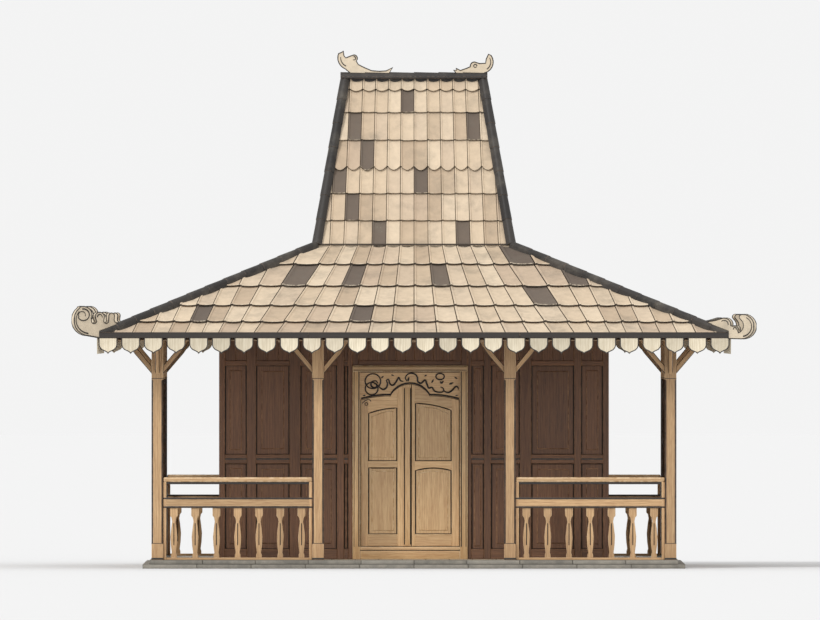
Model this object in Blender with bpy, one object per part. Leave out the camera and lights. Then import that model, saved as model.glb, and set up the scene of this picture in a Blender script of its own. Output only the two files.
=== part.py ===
"""Joglo house: a timber house on a low plinth, with a verandah all round and a two-part hipped roof.

Metres, +Z up. The origin is on the ground under the middle of the house, and the front faces -Y.
"""

from math import cos, pi, radians, sin, sqrt

import bmesh
import bpy
from mathutils import Matrix, Vector

# Fitting gap between pieces that touch
GAP = 0.0003

# Plinth: two low courses
PLINTH_X, PLINTH_Y = 3.39, 3.19
PLINTH_STEP = 0.09
COURSE = 0.055
FLOOR = 2 * COURSE

# Verandah posts, each with slanting struts under the beam
POST = 0.15
POST_X = (-3.29, -1.23, 1.23, 3.29)
POST_Y = (-3.09, -1.03, 1.03, 3.09)
STRUT_FOOT = 2.50
STRUT_REACH = 0.40
STRUT_DEPTH = 0.10
STRUT_WIDTH = 0.055
TENON = 0.02
BEAM_BOTTOM, BEAM_TOP = 3.03, 3.175
BEAM_WIDTH = 0.12

# Skirt roof and steep upper roof: half spans of their edges, and their heights
EAVE_X, EAVE_Y, EAVE_Z = 4.06, 3.86, 3.00
BREAK_X, BREAK_Y, BREAK_Z = 1.27, 1.07, 4.16
RIDGE_X, RIDGE_Z = 0.90, 6.34
ROOF_THICK = 0.11

# Blocks bigger than the house, from which slopes and guides are cut
ROOF_BLOCK = 8.0

# Four inner posts and the ring beam that carries the upper roof
CORE_X, CORE_Y = 1.23, 1.03
CORE_POST = 0.18
RING_DEPTH, RING_WIDTH = 0.16, 0.14

# Panelled walls
WALL = 0.06
WALL_X = 2.476
FRONT_WALL_Y, BACK_WALL_Y = -1.95, 2.29

# Doorway, drawn a little left of the middle: half width between the jambs, threshold, head and leaves
DOOR_X = -0.05
DOOR_HALF, JAMB = 0.64, 0.10
FRAME_DEPTH = 0.12
SILL_TOP = 0.27
HEAD_BOTTOM, HEAD_TOP = 2.523, 2.599
LEAF = 0.04
DOOR_GAP = 0.008
MEETING_LEFT, MEETING_RIGHT = 0.012, 0.022
COVER_STRIP, COVER_PROUD = 0.045, 0.010
STRIP_SHORT, STRIP_SUNK, STRIP_EDGE = (0.005, 0.03), 0.01, 0.001
ARCH_HALF, ARCH_FOOT, ARCH_TOP = 0.26, 2.19, 2.353
ARCH_STEPS, SHOULDER_STEP = 24, 0.002
SHOULDER, LEAF_SIDE = 2.205, 2.150
HINGE_X, HINGE_PROUD, KNUCKLE, KNUCKLE_SIDES = 0.636, 0.012, 0.007, 12
HINGE_HEIGHTS = (0.50, 1.22, 1.94)
HINGE_LONG, FLAP_LONG, FLAP_WIDE = 0.09, 0.088, 0.035
FLAP_SUNK, FLAP_SHY = 0.004, 0.002

# Balustrades
RAIL_WIDTH = 0.07
TOP_RAIL = (1.08, 1.17)
LOW_RAIL = (0.776, 0.91)
BALUSTER_PITCH = 0.273
BALUSTER_WIDE, BALUSTER_DEEP = 0.06, 0.045
RAIL_STILE = 0.04

# Eave board with its pendants
BOARD = 0.02
BOARD_TOP, BOARD_BOTTOM = 3.03, 2.955
PENDANT_PITCH, PENDANT_WIDTH = 0.29, 0.24
PENDANT_SIDE, PENDANT_TIP = 2.86, 2.75

# Ridge and hip caps
RIDGE_CAP_TOP, RIDGE_CAP_LOW = 6.39, 6.27
RIDGE_CAP_HALF, RIDGE_CAP_END = 0.075, 0.95
RIDGE_CAP_SHOULDER, RIDGE_CAP_CROWN, RIDGE_CAP_ROUND = 0.8, 0.5, 0.02
HIP_CAP_HALF, HIP_CAP_RISE, HIP_CAP_SHOULDER = 0.055, 0.045, 0.6
HIP_CAP_SPLIT = 4.20
HIP_RUN_ON = 0.15
ORNAMENT_THICK = 0.06
ARC_STEP = 22


def clear_scene():
    for old in list(bpy.data.objects):
        bpy.data.objects.remove(old, do_unlink=True)


def material(name, colour, roughness):
    made = bpy.data.materials.new(name)
    made.use_nodes = True
    shader = made.node_tree.nodes["Principled BSDF"]
    shader.inputs["Base Color"].default_value = (*colour, 1.0)
    shader.inputs["Roughness"].default_value = roughness
    shader.inputs["Metallic"].default_value = 0.0
    return made


def node(name, bm, finish, place=(0, 0, 0), turn=0.0):
    """Make the finished bmesh a named object at its place, turned about Z."""
    bmesh.ops.recalc_face_normals(bm, faces=bm.faces[:])
    mesh = bpy.data.meshes.new(name)
    bm.to_mesh(mesh)
    bm.free()
    mesh.materials.append(finish)
    made = bpy.data.objects.new(name, mesh)
    made.location = place
    made.rotation_euler = (0, 0, turn)
    bpy.context.collection.objects.link(made)
    return made


def guide(shape):
    """Mark a shape that only joins or cuts others."""
    shape.hide_render = True
    shape.display_type = "WIRE"
    return shape


def boolean(piece, other, operation):
    """Join or cut a piece with another shape, which is then only a guide."""
    step = piece.modifiers.new(other.name, "BOOLEAN")
    step.object = guide(other)
    step.operation = operation
    step.solver = "EXACT"
    return piece


def box(bm, low, high):
    """Add a box between two corners."""
    low, high = Vector(low), Vector(high)
    size = high - low
    place = Matrix.Translation((low + high) / 2) @ Matrix.Diagonal((*size, 1))
    bmesh.ops.create_cube(bm, size=1, matrix=place)


def plate(bm, outline, depth, across=(0, 1, 0)):
    """Add a plate: a flat outline in XZ or any plane, made thick along across."""
    corners = [bm.verts.new(point) for point in outline]
    face = bm.faces.new(corners)
    pushed = bmesh.ops.extrude_face_region(bm, geom=[face])
    moved = [v for v in pushed["geom"] if isinstance(v, bmesh.types.BMVert)]
    bmesh.ops.translate(bm, verts=moved, vec=Vector(across).normalized() * depth)


def trim(bm, point, outward):
    """Cut away what lies beyond a plane, and close the cut."""
    everything = bm.verts[:] + bm.edges[:] + bm.faces[:]
    cut = bmesh.ops.bisect_plane(
        bm, geom=everything, dist=1e-6, plane_co=point, plane_no=outward, clear_outer=True
    )
    rim = [edge for edge in cut["geom_cut"] if isinstance(edge, bmesh.types.BMEdge)]
    bmesh.ops.edgeloop_fill(bm, edges=rim)


def slope_plane(side, eave, eave_z, top, top_z):
    """A roof slope facing a side such as (0, -1): a point on its eave and its outward normal."""
    out = Vector((*side, 0))
    rise, run = top_z - eave_z, eave - top
    normal = (out * rise + Vector((0, 0, run))).normalized()
    return out * eave + Vector((0, 0, eave_z)), normal


SIDES = {"front": (0, -1), "back": (0, 1), "left": (-1, 0), "right": (1, 0)}


def lower_plane(name):
    side = SIDES[name]
    if side[0]:
        return slope_plane(side, EAVE_X, EAVE_Z, BREAK_X, BREAK_Z)
    return slope_plane(side, EAVE_Y, EAVE_Z, BREAK_Y, BREAK_Z)


def upper_plane(name):
    side = SIDES[name]
    if side[0]:
        return slope_plane(side, BREAK_X, BREAK_Z, RIDGE_X, RIDGE_Z)
    return slope_plane(side, BREAK_Y, BREAK_Z, 0.0, RIDGE_Z)


def roof_slab(name, planes, more_cuts):
    """One slope of a roof, mitred against its two neighbours."""
    point, normal = planes[name]
    bm = bmesh.new()
    box(bm, (-ROOF_BLOCK, -ROOF_BLOCK, 0), (ROOF_BLOCK, ROOF_BLOCK, ROOF_BLOCK))
    trim(bm, point, normal)
    trim(bm, point - normal * ROOF_THICK, -normal)
    for other in SIDES:
        if other == name:
            continue
        across = planes[other][1] - normal
        corner = mitre_point(planes[name], planes[other])
        trim(bm, corner - across.normalized() * GAP, across)
    for cut_point, cut_normal in more_cuts:
        trim(bm, cut_point, cut_normal)
    return bm


def mitre_point(plane_a, plane_b):
    """A point on the line where two planes meet."""
    (point_a, normal_a), (point_b, normal_b) = plane_a, plane_b
    line = normal_a.cross(normal_b)
    rows = Matrix((normal_a, normal_b, line))
    return rows.inverted() @ Vector((point_a.dot(normal_a), point_b.dot(normal_b), 0))


def lower_roof(tile):
    planes = {name: lower_plane(name) for name in SIDES}
    for name, side in SIDES.items():
        out = Vector((*side, 0))
        eave = (EAVE_X if side[0] else EAVE_Y) - BOARD - GAP
        wall_point, wall_normal = upper_plane(name)
        cuts = [(out * eave, out), (wall_point + wall_normal * GAP, -wall_normal)]
        node("lower_roof_" + name, roof_slab(name, planes, cuts), tile)


def upper_roof(tile):
    planes = {name: upper_plane(name) for name in SIDES}
    base = Vector((0, 0, ring_top() + GAP))
    for name in SIDES:
        cuts = [(base, Vector((0, 0, -1)))]
        node("upper_roof_" + name, roof_slab(name, planes, cuts), tile)


def under_roof(bm):
    """Cut a shape off just under the four slopes of the skirt roof."""
    for name in SIDES:
        point, normal = lower_plane(name)
        trim(bm, point - normal * (ROOF_THICK + GAP), normal)


def ring_top():
    """Height of the ring beam, whose outer edges carry the top of the skirt roof."""
    point, normal = lower_plane("right")
    under = point - normal * (ROOF_THICK + GAP)
    outer = CORE_X + RING_WIDTH / 2
    return under.z + normal.x / normal.z * (under.x - outer)


def plinth(stone, paving):
    for name, finish, low, reach in (
        ("plinth_base", stone, 0.0, PLINTH_STEP),
        ("plinth_floor", paving, COURSE, 0.0),
    ):
        bm = bmesh.new()
        x, y = PLINTH_X + reach, PLINTH_Y + reach
        top = low + COURSE - (GAP if low == 0 else 0)
        box(bm, (-x, -y, low), (x, y, top))
        node(name, bm, finish)


def strut(bm, direction):
    """A slanting strut from the post's face up to the beam, along direction in plan."""
    out = Vector((*direction, 0))
    across = Vector((-direction[1], direction[0], 0))
    rise = Vector((0, 0, 1))
    top = BEAM_BOTTOM - GAP
    slope = (top - STRUT_FOOT) / STRUT_REACH
    root, tip = POST / 2 - TENON, POST / 2 + STRUT_REACH
    foot = STRUT_FOOT - TENON * slope
    corners = [
        out * root + rise * foot,
        out * tip + rise * top,
        out * (tip - STRUT_DEPTH / slope) + rise * top,
        out * root + rise * (foot + STRUT_DEPTH),
    ]
    start = across * (-STRUT_WIDTH / 2)
    plate(bm, [corner + start for corner in corners], STRUT_WIDTH, across)


def post(name, wood, x, y, directions):
    """A verandah post joined to its struts."""
    bm = bmesh.new()
    half = POST / 2
    box(bm, (x - half, y - half, FLOOR + GAP), (x + half, y + half, BEAM_BOTTOM - GAP))
    body = node(name, bm, wood)
    for number, direction in enumerate(directions):
        arm = bmesh.new()
        strut(arm, direction)
        bmesh.ops.translate(arm, verts=arm.verts[:], vec=(x, y, 0))
        under_roof(arm)
        boolean(body, node(f"{name}_strut_{number}", arm, wood), "UNION")


def verandah_posts(wood):
    """Twelve posts round the edge, named for their side, with struts along each side they stand on."""
    along_x, along_y = [(1, 0), (-1, 0)], [(0, 1), (0, -1)]
    for number, x in enumerate(POST_X, start=1):
        corner = along_y if number in (1, 4) else []
        post(f"front_post_{number}", wood, x, POST_Y[0], along_x + corner)
        post(f"back_post_{number}", wood, x, POST_Y[3], along_x + corner)
    for place, y in (("front", POST_Y[1]), ("back", POST_Y[2])):
        post(f"left_post_{place}", wood, POST_X[0], y, along_y)
        post(f"right_post_{place}", wood, POST_X[3], y, along_y)


def beam_ring(name, wood, x, y, width, low, high):
    """A rectangular ring of four beams in one, centred on half spans x and y."""
    bm = bmesh.new()
    outer, inner = width / 2, -width / 2
    box(bm, (-x - outer, -y - outer, low), (x + outer, y + outer, high))
    ring = node(name, bm, wood)
    hole = bmesh.new()
    box(hole, (-x - inner, -y - inner, low - 1), (x + inner, y + inner, high + 1))
    return boolean(ring, node(name + "_hole", hole, wood), "DIFFERENCE")


def central_frame(wood):
    top = ring_top()
    ring = beam_ring("central_frame", wood, CORE_X, CORE_Y, RING_WIDTH, top - RING_DEPTH, top)
    half = CORE_POST / 2
    foot, head = FLOOR + GAP, top - RING_DEPTH / 2
    for x in (-CORE_X, CORE_X):
        for y in (-CORE_Y, CORE_Y):
            bm = bmesh.new()
            box(bm, (x - half, y - half, foot), (x + half, y + half, head))
            boolean(ring, node("inner_post", bm, wood), "UNION")


def wall(name, wood, low, high):
    bm = bmesh.new()
    box(bm, low, high)
    under_roof(bm)
    node(name, bm, wood)


def walls(wood):
    half, top = WALL / 2, BREAK_Z
    side_in, side_out = WALL_X - half, WALL_X + half
    frame = DOOR_HALF + JAMB + GAP
    foot = FLOOR + GAP
    front, back = FRONT_WALL_Y, BACK_WALL_Y
    left_end, right_end = DOOR_X - frame, DOOR_X + frame
    wall("front_wall_left", wood, (-side_out, front - half, foot), (left_end, front + half, top))
    wall("front_wall_right", wood, (right_end, front - half, foot), (side_out, front + half, top))
    over = (left_end + GAP, front - half, HEAD_TOP + GAP)
    wall("front_wall_over_door", wood, over, (right_end - GAP, front + half, top))
    wall("back_wall", wood, (-side_out, back - half, foot), (side_out, back + half, top))
    for name, low, high in (("left_wall", -side_out, -side_in), ("right_wall", side_in, side_out)):
        wall(name, wood, (low, front + half + GAP, foot), (high, back - half - GAP, top))


def arch(x):
    """Height of the leaves' top edge at x from the door's middle: falling shoulders and an arch between."""
    away = abs(x)
    if away >= ARCH_HALF:
        return SHOULDER + (LEAF_SIDE - SHOULDER) * ((away - ARCH_HALF) / (DOOR_HALF - ARCH_HALF)) ** 2
    rise = ARCH_TOP - ARCH_FOOT
    radius = (ARCH_HALF**2 + rise**2) / (2 * rise)
    return ARCH_TOP - radius + sqrt(radius**2 - away**2)


def arch_points(low, high, lift):
    """The top edge from x low to x high, raised by lift, with the steps at the shoulders."""
    points = [low + (high - low) * k / ARCH_STEPS for k in range(ARCH_STEPS + 1)]
    for step in (-ARCH_HALF, ARCH_HALF):
        if low < step < high:
            points += [step - SHOULDER_STEP, step + SHOULDER_STEP]
    return [Vector((x, 0, arch(x) + lift)) for x in sorted(points)]


def door_frame(wood):
    """Jambs, head and raised threshold in one."""
    front = FRONT_WALL_Y - FRAME_DEPTH / 2
    outer = DOOR_HALF + JAMB
    low_x, high_x = DOOR_X - DOOR_HALF, DOOR_X + DOOR_HALF
    bm = bmesh.new()
    box(bm, (DOOR_X - outer, front, FLOOR + GAP), (DOOR_X + outer, front + FRAME_DEPTH, HEAD_TOP))
    frame = node("door_frame", bm, wood)
    hole = bmesh.new()
    box(hole, (low_x, front - 1, SILL_TOP), (high_x, front + 1, HEAD_BOTTOM))
    boolean(frame, node("doorway", hole, wood), "DIFFERENCE")


def leaf_faces():
    """Outer and inner face of the closed leaves, in Y."""
    inner = FRONT_WALL_Y + FRAME_DEPTH / 2
    return inner - LEAF, inner


def transom(wood):
    """Fixed carved board between the leaves' arch and the head."""
    outer, inner = leaf_faces()
    side, top = DOOR_HALF - GAP, HEAD_BOTTOM - GAP
    outline = arch_points(-side, side, DOOR_GAP)
    outline += [Vector((side, 0, top)), Vector((-side, 0, top))]
    bm = bmesh.new()
    plate(bm, outline, LEAF)
    bmesh.ops.translate(bm, verts=bm.verts[:], vec=(DOOR_X, outer, 0))
    node("door_transom", bm, wood)


def door_leaf(name, wood, hinge, near, far):
    """A leaf between near and far of the door's middle in X, with its origin on the hinge's axis."""
    outer, inner = leaf_faces()
    axis = Vector((DOOR_X + hinge, inner + HINGE_PROUD, 0))
    low, high = min(near, far), max(near, far)
    foot = SILL_TOP + DOOR_GAP
    outline = arch_points(low, high, 0.0) + [Vector((high, 0, foot)), Vector((low, 0, foot))]
    bm = bmesh.new()
    plate(bm, outline, LEAF)
    bmesh.ops.translate(bm, verts=bm.verts[:], vec=Vector((DOOR_X, outer, 0)) - axis)
    leaf = node(name, bm, wood, axis)
    inward = 1 if hinge < 0 else -1
    for number, height in enumerate(HINGE_HEIGHTS):
        strap = bmesh.new()
        barrel = Matrix.Translation((0, 0, height))
        bmesh.ops.create_cone(
            strap, cap_ends=True, segments=KNUCKLE_SIDES, radius1=KNUCKLE, radius2=KNUCKLE,
            depth=HINGE_LONG, matrix=barrel,
        )
        boolean(leaf, node(f"{name}_knuckle_{number}", strap, wood, axis), "UNION")
        flap = bmesh.new()
        low_x, high_x = sorted((0.0, inward * FLAP_WIDE))
        box(
            flap,
            (low_x, -HINGE_PROUD - FLAP_SUNK, height - FLAP_LONG / 2),
            (high_x, -FLAP_SHY, height + FLAP_LONG / 2),
        )
        boolean(leaf, node(f"{name}_flap_{number}", flap, wood, axis), "UNION")
    return leaf, axis


def doors(wood):
    outer, _ = leaf_faces()
    edge = DOOR_HALF - DOOR_GAP
    leaf, axis = door_leaf("door_leaf_left", wood, -HINGE_X, -edge, MEETING_LEFT)
    strip = bmesh.new()
    foot, top = SILL_TOP + DOOR_GAP + STRIP_SHORT[0], ARCH_TOP - STRIP_SHORT[1]
    meeting = DOOR_X + MEETING_LEFT
    low = (meeting - 2 * COVER_STRIP, outer - COVER_PROUD, foot)
    box(strip, low, (meeting - STRIP_EDGE, outer + STRIP_SUNK, top))
    bmesh.ops.translate(strip, verts=strip.verts[:], vec=-axis)
    boolean(leaf, node("cover_strip", strip, wood, axis), "UNION")
    door_leaf("door_leaf_right", wood, HINGE_X, edge, MEETING_RIGHT)


def railing(name, wood, span, place, turn):
    """A balustrade for a bay: two rails between end stiles, and square balusters under the lower."""
    half, deep, foot = span / 2, RAIL_WIDTH / 2, FLOOR + GAP
    bars = [((-half, -deep, LOW_RAIL[0]), (half, deep, LOW_RAIL[1]))]
    for side in (-1, 1):
        low, high = sorted((side * half, side * (half - RAIL_STILE)))
        bars.append(((low, -deep, foot), (high, deep, TOP_RAIL[1])))
    count = round(span / BALUSTER_PITCH)
    wide, thick = BALUSTER_WIDE / 2, BALUSTER_DEEP / 2
    for number in range(count):
        x = span * ((number + 0.5) / count - 0.5)
        bars.append(((x - wide, -thick, foot), (x + wide, thick, LOW_RAIL[0] + TENON)))
    bm = bmesh.new()
    box(bm, (-half, -deep, TOP_RAIL[0]), (half, deep, TOP_RAIL[1]))
    rail = node(name, bm, wood, place, turn)
    for low, high in bars:
        bar = bmesh.new()
        box(bar, low, high)
        boolean(rail, node("bar", bar, wood, place, turn), "UNION")


def railings(wood):
    """A balustrade in each bay between posts but the entrance, in the middle of the front."""
    clear = POST + 2 * GAP
    for number, label in enumerate(("left", "middle", "right")):
        start, end = POST_X[number], POST_X[number + 1]
        middle, span = (start + end) / 2, end - start - clear
        if label != "middle":
            railing("railing_front_" + label, wood, span, (middle, POST_Y[0], 0), 0.0)
        railing("railing_back_" + label, wood, span, (middle, POST_Y[3], 0), 0.0)
    for number, label in enumerate(("front", "middle", "back")):
        start, end = POST_Y[number], POST_Y[number + 1]
        middle, span = (start + end) / 2, end - start - clear
        railing("railing_left_" + label, wood, span, (POST_X[0], middle, 0), pi / 2)
        railing("railing_right_" + label, wood, span, (POST_X[3], middle, 0), pi / 2)


def valance_shape(half, row):
    """Eave board of half length half, with pendants in a row of half length row."""
    count = round(2 * row / PENDANT_PITCH)
    pitch = 2 * row / count
    outline = [(-half, BOARD_TOP), (half, BOARD_TOP), (half, BOARD_BOTTOM)]
    for number in reversed(range(count)):
        middle = pitch * (number + 0.5) - row
        edge = PENDANT_WIDTH / 2
        outline += [
            (middle + edge, BOARD_BOTTOM),
            (middle + edge, PENDANT_SIDE),
            (middle, PENDANT_TIP),
            (middle - edge, PENDANT_SIDE),
            (middle - edge, BOARD_BOTTOM),
        ]
    outline.append((-half, BOARD_BOTTOM))
    bm = bmesh.new()
    plate(bm, [Vector((x, 0, z)) for x, z in outline], BOARD)
    return bm


def valances(wood):
    for name, turn in (("front", 0.0), ("back", pi)):
        bm = valance_shape(EAVE_X, EAVE_X)
        bmesh.ops.translate(bm, verts=bm.verts[:], vec=(0, -EAVE_Y, 0))
        node("valance_" + name, bm, wood, turn=turn)
    side = EAVE_Y - BOARD - GAP
    for name, turn in (("left", -pi / 2), ("right", pi / 2)):
        bm = valance_shape(side, side)
        bmesh.ops.translate(bm, verts=bm.verts[:], vec=(0, -EAVE_X, 0))
        node("valance_" + name, bm, wood, turn=turn)


def roof_core(name, plane_of, finish):
    """The whole space under four slopes, a guide that cuts caps to fit over them."""
    bm = bmesh.new()
    box(bm, (-ROOF_BLOCK, -ROOF_BLOCK, 0), (ROOF_BLOCK, ROOF_BLOCK, ROOF_BLOCK))
    for side in SIDES:
        point, normal = plane_of(side)
        trim(bm, point + normal * GAP, normal)
    return guide(node(name, bm, finish))


def hip_bar(start, end):
    """A bar with a ridged back along a hip, run on at both ends for trimming."""
    along = (end - start).normalized()
    across = along.cross(Vector((0, 0, 1))).normalized()
    up = across.cross(along).normalized()
    half, rise = HIP_CAP_HALF, HIP_CAP_RISE
    shoulder = rise * HIP_CAP_SHOULDER
    section = [(-half, -rise), (half, -rise), (half, shoulder), (0.0, rise), (-half, shoulder)]
    origin = start - along * HIP_RUN_ON
    bm = bmesh.new()
    corners = [origin + across * a + up * b for a, b in section]
    plate(bm, corners, (end - start).length + 2 * HIP_RUN_ON, along)
    return bm


def arc_outline(arcs):
    """Points round a chain of arcs, each a centre, a radius and its two angles in degrees."""
    points = []
    for centre, radius, start, end in arcs:
        steps = max(1, round(abs(end - start) / ARC_STEP))
        for number in range(steps + 1):
            angle = radians(start + (end - start) * number / steps)
            points.append((centre[0] + radius * cos(angle), centre[1] + radius * sin(angle)))
    return points


def left_corner_outline():
    """A rolled scroll and two waves, as distances from the middle and heights, seen from the front."""
    hip = [(3.70, 3.13), (3.70, 3.02), (4.03, 2.96)]
    sweep = ((4.165, 3.185), 0.2, -90, 52)
    roll = ((4.244, 3.253), 0.108, 65, 205)
    waves = [
        ((4.108, 3.175), 0.035, -20, -160),
        ((4.036, 3.228), 0.058, 0, 180),
        ((3.955, 3.175), 0.032, 0, -180),
        ((3.885, 3.240), 0.036, 0, 180),
        ((3.815, 3.190), 0.040, 0, -80),
    ]
    return hip + arc_outline([sweep, roll] + waves)


def right_corner_outline():
    """A big hook, a small curl and a long leaf, as distances from the middle and heights."""
    hip = [(3.70, 3.15), (3.70, 3.02), (4.03, 2.95)]
    arcs = [
        ((4.205, 3.104), 0.159, -90, 75),
        ((4.212, 3.222), 0.036, 75, 190),
        ((4.130, 3.115), 0.100, 50, -70),
        ((4.122, 3.075), 0.038, -30, 130),
        ((3.985, 3.130), 0.082, -10, 115),
    ]
    return hip + arc_outline(arcs) + [(3.87, 3.18)]


def corner_plate(outline, side_x, side_y):
    """A corner scroll in the upright plane of its hip, which runs at 45 degrees in plan."""
    across = Vector((-side_y, side_x, 0)).normalized()
    corners = [
        Vector((side_x * out, side_y * (out - EAVE_X + EAVE_Y), z)) - across * ORNAMENT_THICK / 2
        for out, z in outline
    ]
    bm = bmesh.new()
    plate(bm, corners, ORNAMENT_THICK, across)
    return bm


def upper_hip_cap(label, tile, side_x, side_y, cores):
    low_end = Vector((side_x * BREAK_X, side_y * BREAK_Y, BREAK_Z))
    bm = hip_bar(low_end, Vector((side_x * RIDGE_X, 0, RIDGE_Z)))
    up = Vector((0, 0, 1))
    trim(bm, up * HIP_CAP_SPLIT, -up)
    trim(bm, up * (RIDGE_CAP_LOW - GAP), up)
    trim(bm, Vector((0, side_y * GAP, 0)), Vector((0, -side_y, 0)))
    cap = node("upper_hip_cap_" + label, bm, tile)
    for core in cores:
        boolean(cap, core, "DIFFERENCE")


def lower_hip_cap(label, tile, side_x, side_y, cores):
    """The cap along a lower hip, with the corner scroll that ends it."""
    eave = Vector((side_x * EAVE_X, side_y * EAVE_Y, EAVE_Z))
    bm = hip_bar(eave, Vector((side_x * BREAK_X, side_y * BREAK_Y, BREAK_Z)))
    up, out = Vector((0, 0, 1)), Vector((side_x, 0, 0))
    trim(bm, up * (HIP_CAP_SPLIT - GAP), up)
    trim(bm, eave, out)
    cap = node("lower_hip_cap_" + label, bm, tile)
    outline = left_corner_outline() if side_x < 0 else right_corner_outline()
    scroll = node("scroll", corner_plate(outline, side_x, side_y), tile)
    boolean(cap, scroll, "UNION")
    for core in cores:
        boolean(cap, core, "DIFFERENCE")


def hip_caps(tile, upper_core):
    boards = bmesh.new()
    x, y = EAVE_X + GAP, EAVE_Y + GAP
    box(boards, (-x, -y, PENDANT_TIP), (x, y, BOARD_TOP + GAP))
    lower_core = roof_core("lower_core", lower_plane, tile)
    board_room = guide(node("board_room", boards, tile))
    for side_x, end in ((-1, "left"), (1, "right")):
        for side_y, face in ((-1, "front"), (1, "back")):
            label = f"{face}_{end}"
            upper_hip_cap(label, tile, side_x, side_y, (upper_core, lower_core))
            lower_hip_cap(label, tile, side_x, side_y, (upper_core, lower_core, board_room))


def left_finial_outline():
    """A notched fin leaning outwards and a small crest, with a low tail along the ridge."""
    fin = arc_outline([((-0.83, 6.575), 0.155, 248, 160)])
    notch = [(-0.934, 6.645), (-0.914, 6.670), (-0.905, 6.600), (-0.882, 6.573), (-0.820, 6.597)]
    crest = arc_outline([((-0.775, 6.568), 0.044, 90, -50)])
    tail = [(-0.72, 6.487), (-0.64, 6.447), (-0.55, 6.408), (-0.45, 6.40), (-0.36, 6.405)]
    return [(-0.80, 6.36)] + fin + notch + crest + tail + [(-0.272, 6.452), (-0.33, 6.36)]


def right_finial_outline():
    """A horn leaning outwards and a rolled head, with a short forked tail along the ridge."""
    horn = arc_outline([((0.88, 6.52), 0.145, -60, 35)]) + [(0.964, 6.622), (0.935, 6.560)]
    neck = [(0.925, 6.503), (0.845, 6.500)]
    head = arc_outline([((0.780, 6.468), 0.052, 60, 190)])
    tail = [(0.685, 6.440), (0.60, 6.410), (0.541, 6.440), (0.550, 6.412), (0.512, 6.417)]
    return [(0.86, 6.36)] + horn + neck + head + tail + [(0.56, 6.36)]


def ridge(tile, upper_core):
    """Ridge cap with a scroll finial at each end."""
    half, top, low = RIDGE_CAP_HALF, RIDGE_CAP_TOP, RIDGE_CAP_LOW
    shoulder, crown, edge = half * RIDGE_CAP_SHOULDER, half * RIDGE_CAP_CROWN, top - RIDGE_CAP_ROUND
    section = [(-half, low), (half, low), (shoulder, edge), (crown, top)]
    section += [(-crown, top), (-shoulder, edge)]
    bm = bmesh.new()
    start = -RIDGE_CAP_END
    plate(bm, [Vector((start, y, z)) for y, z in section], 2 * RIDGE_CAP_END, (1, 0, 0))
    cap = node("ridge_cap", bm, tile)
    for outline in (left_finial_outline(), right_finial_outline()):
        bm = bmesh.new()
        plate(bm, [Vector((x, -ORNAMENT_THICK / 2, z)) for x, z in outline], ORNAMENT_THICK)
        boolean(cap, node("finial", bm, tile), "UNION")
    boolean(cap, upper_core, "DIFFERENCE")


def main():
    clear_scene()
    stone = material("stone", (0.55, 0.53, 0.49), 0.85)
    paving = material("paving", (0.60, 0.57, 0.52), 0.8)
    light_wood = material("light_wood", (0.50, 0.36, 0.22), 0.6)
    wall_wood = material("wall_wood", (0.24, 0.13, 0.07), 0.6)
    door_wood = material("door_wood", (0.55, 0.40, 0.24), 0.55)
    tile = material("roof_tile", (0.48, 0.36, 0.28), 0.8)
    cap = material("roof_cap", (0.10, 0.08, 0.07), 0.7)

    plinth(stone, paving)
    verandah_posts(light_wood)
    beam_x, beam_y = POST_X[3], POST_Y[3]
    beam_ring("eave_beam", light_wood, beam_x, beam_y, BEAM_WIDTH, BEAM_BOTTOM, BEAM_TOP)
    central_frame(light_wood)
    walls(wall_wood)
    door_frame(door_wood)
    transom(door_wood)
    doors(door_wood)
    railings(light_wood)
    valances(light_wood)
    lower_roof(tile)
    upper_roof(tile)
    upper_core = roof_core("upper_core", upper_plane, cap)
    hip_caps(cap, upper_core)
    ridge(cap, upper_core)


main()
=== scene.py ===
"""Joglo house finished for looks: tiled roof, panelled teak walls, carved doorway and balustrades.

Metres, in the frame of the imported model. What all four sides share is made for a side that faces
-Y, and is then turned to each side in its turn.
"""

import random
from collections import namedtuple
from math import atan2, cos, hypot, pi, radians, sin, sqrt

import bmesh
import bpy
from mathutils import Matrix, Vector


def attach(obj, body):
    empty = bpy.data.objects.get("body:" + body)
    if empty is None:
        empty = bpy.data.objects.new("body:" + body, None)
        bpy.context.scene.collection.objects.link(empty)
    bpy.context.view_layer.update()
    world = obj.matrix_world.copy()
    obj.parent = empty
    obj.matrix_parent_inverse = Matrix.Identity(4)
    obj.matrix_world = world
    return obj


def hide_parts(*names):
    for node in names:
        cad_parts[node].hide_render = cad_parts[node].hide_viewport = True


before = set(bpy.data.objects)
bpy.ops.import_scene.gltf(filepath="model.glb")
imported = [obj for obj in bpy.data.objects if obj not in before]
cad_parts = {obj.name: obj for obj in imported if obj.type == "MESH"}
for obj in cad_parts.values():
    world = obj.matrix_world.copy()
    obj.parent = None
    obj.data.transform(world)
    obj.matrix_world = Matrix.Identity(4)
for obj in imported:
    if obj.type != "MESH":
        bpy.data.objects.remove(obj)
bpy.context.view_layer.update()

DICE = random.Random(11)
GAP = 0.0003

# Plinth and floor
PLINTH_X, PLINTH_Y = 3.39, 3.19
PLINTH_STEP, COURSE, FLOOR = 0.09, 0.055, 0.11

# Posts and their struts, and the beam over them
POST = 0.15
POST_X = (-3.29, -1.23, 1.23, 3.29)
POST_Y = (-3.09, -1.03, 1.03, 3.09)
STRUT_FOOT, STRUT_REACH, STRUT_DEPTH, STRUT_WIDTH = 2.50, 0.40, 0.10, 0.055
BEAM_BOTTOM, BEAM_TOP, BEAM_WIDTH = 3.03, 3.175, 0.12
CORE_X, CORE_Y, CORE_POST = 1.23, 1.03, 0.18
RING_TOP, RING_DEPTH, RING_WIDTH = 4.028, 0.16, 0.14

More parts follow.
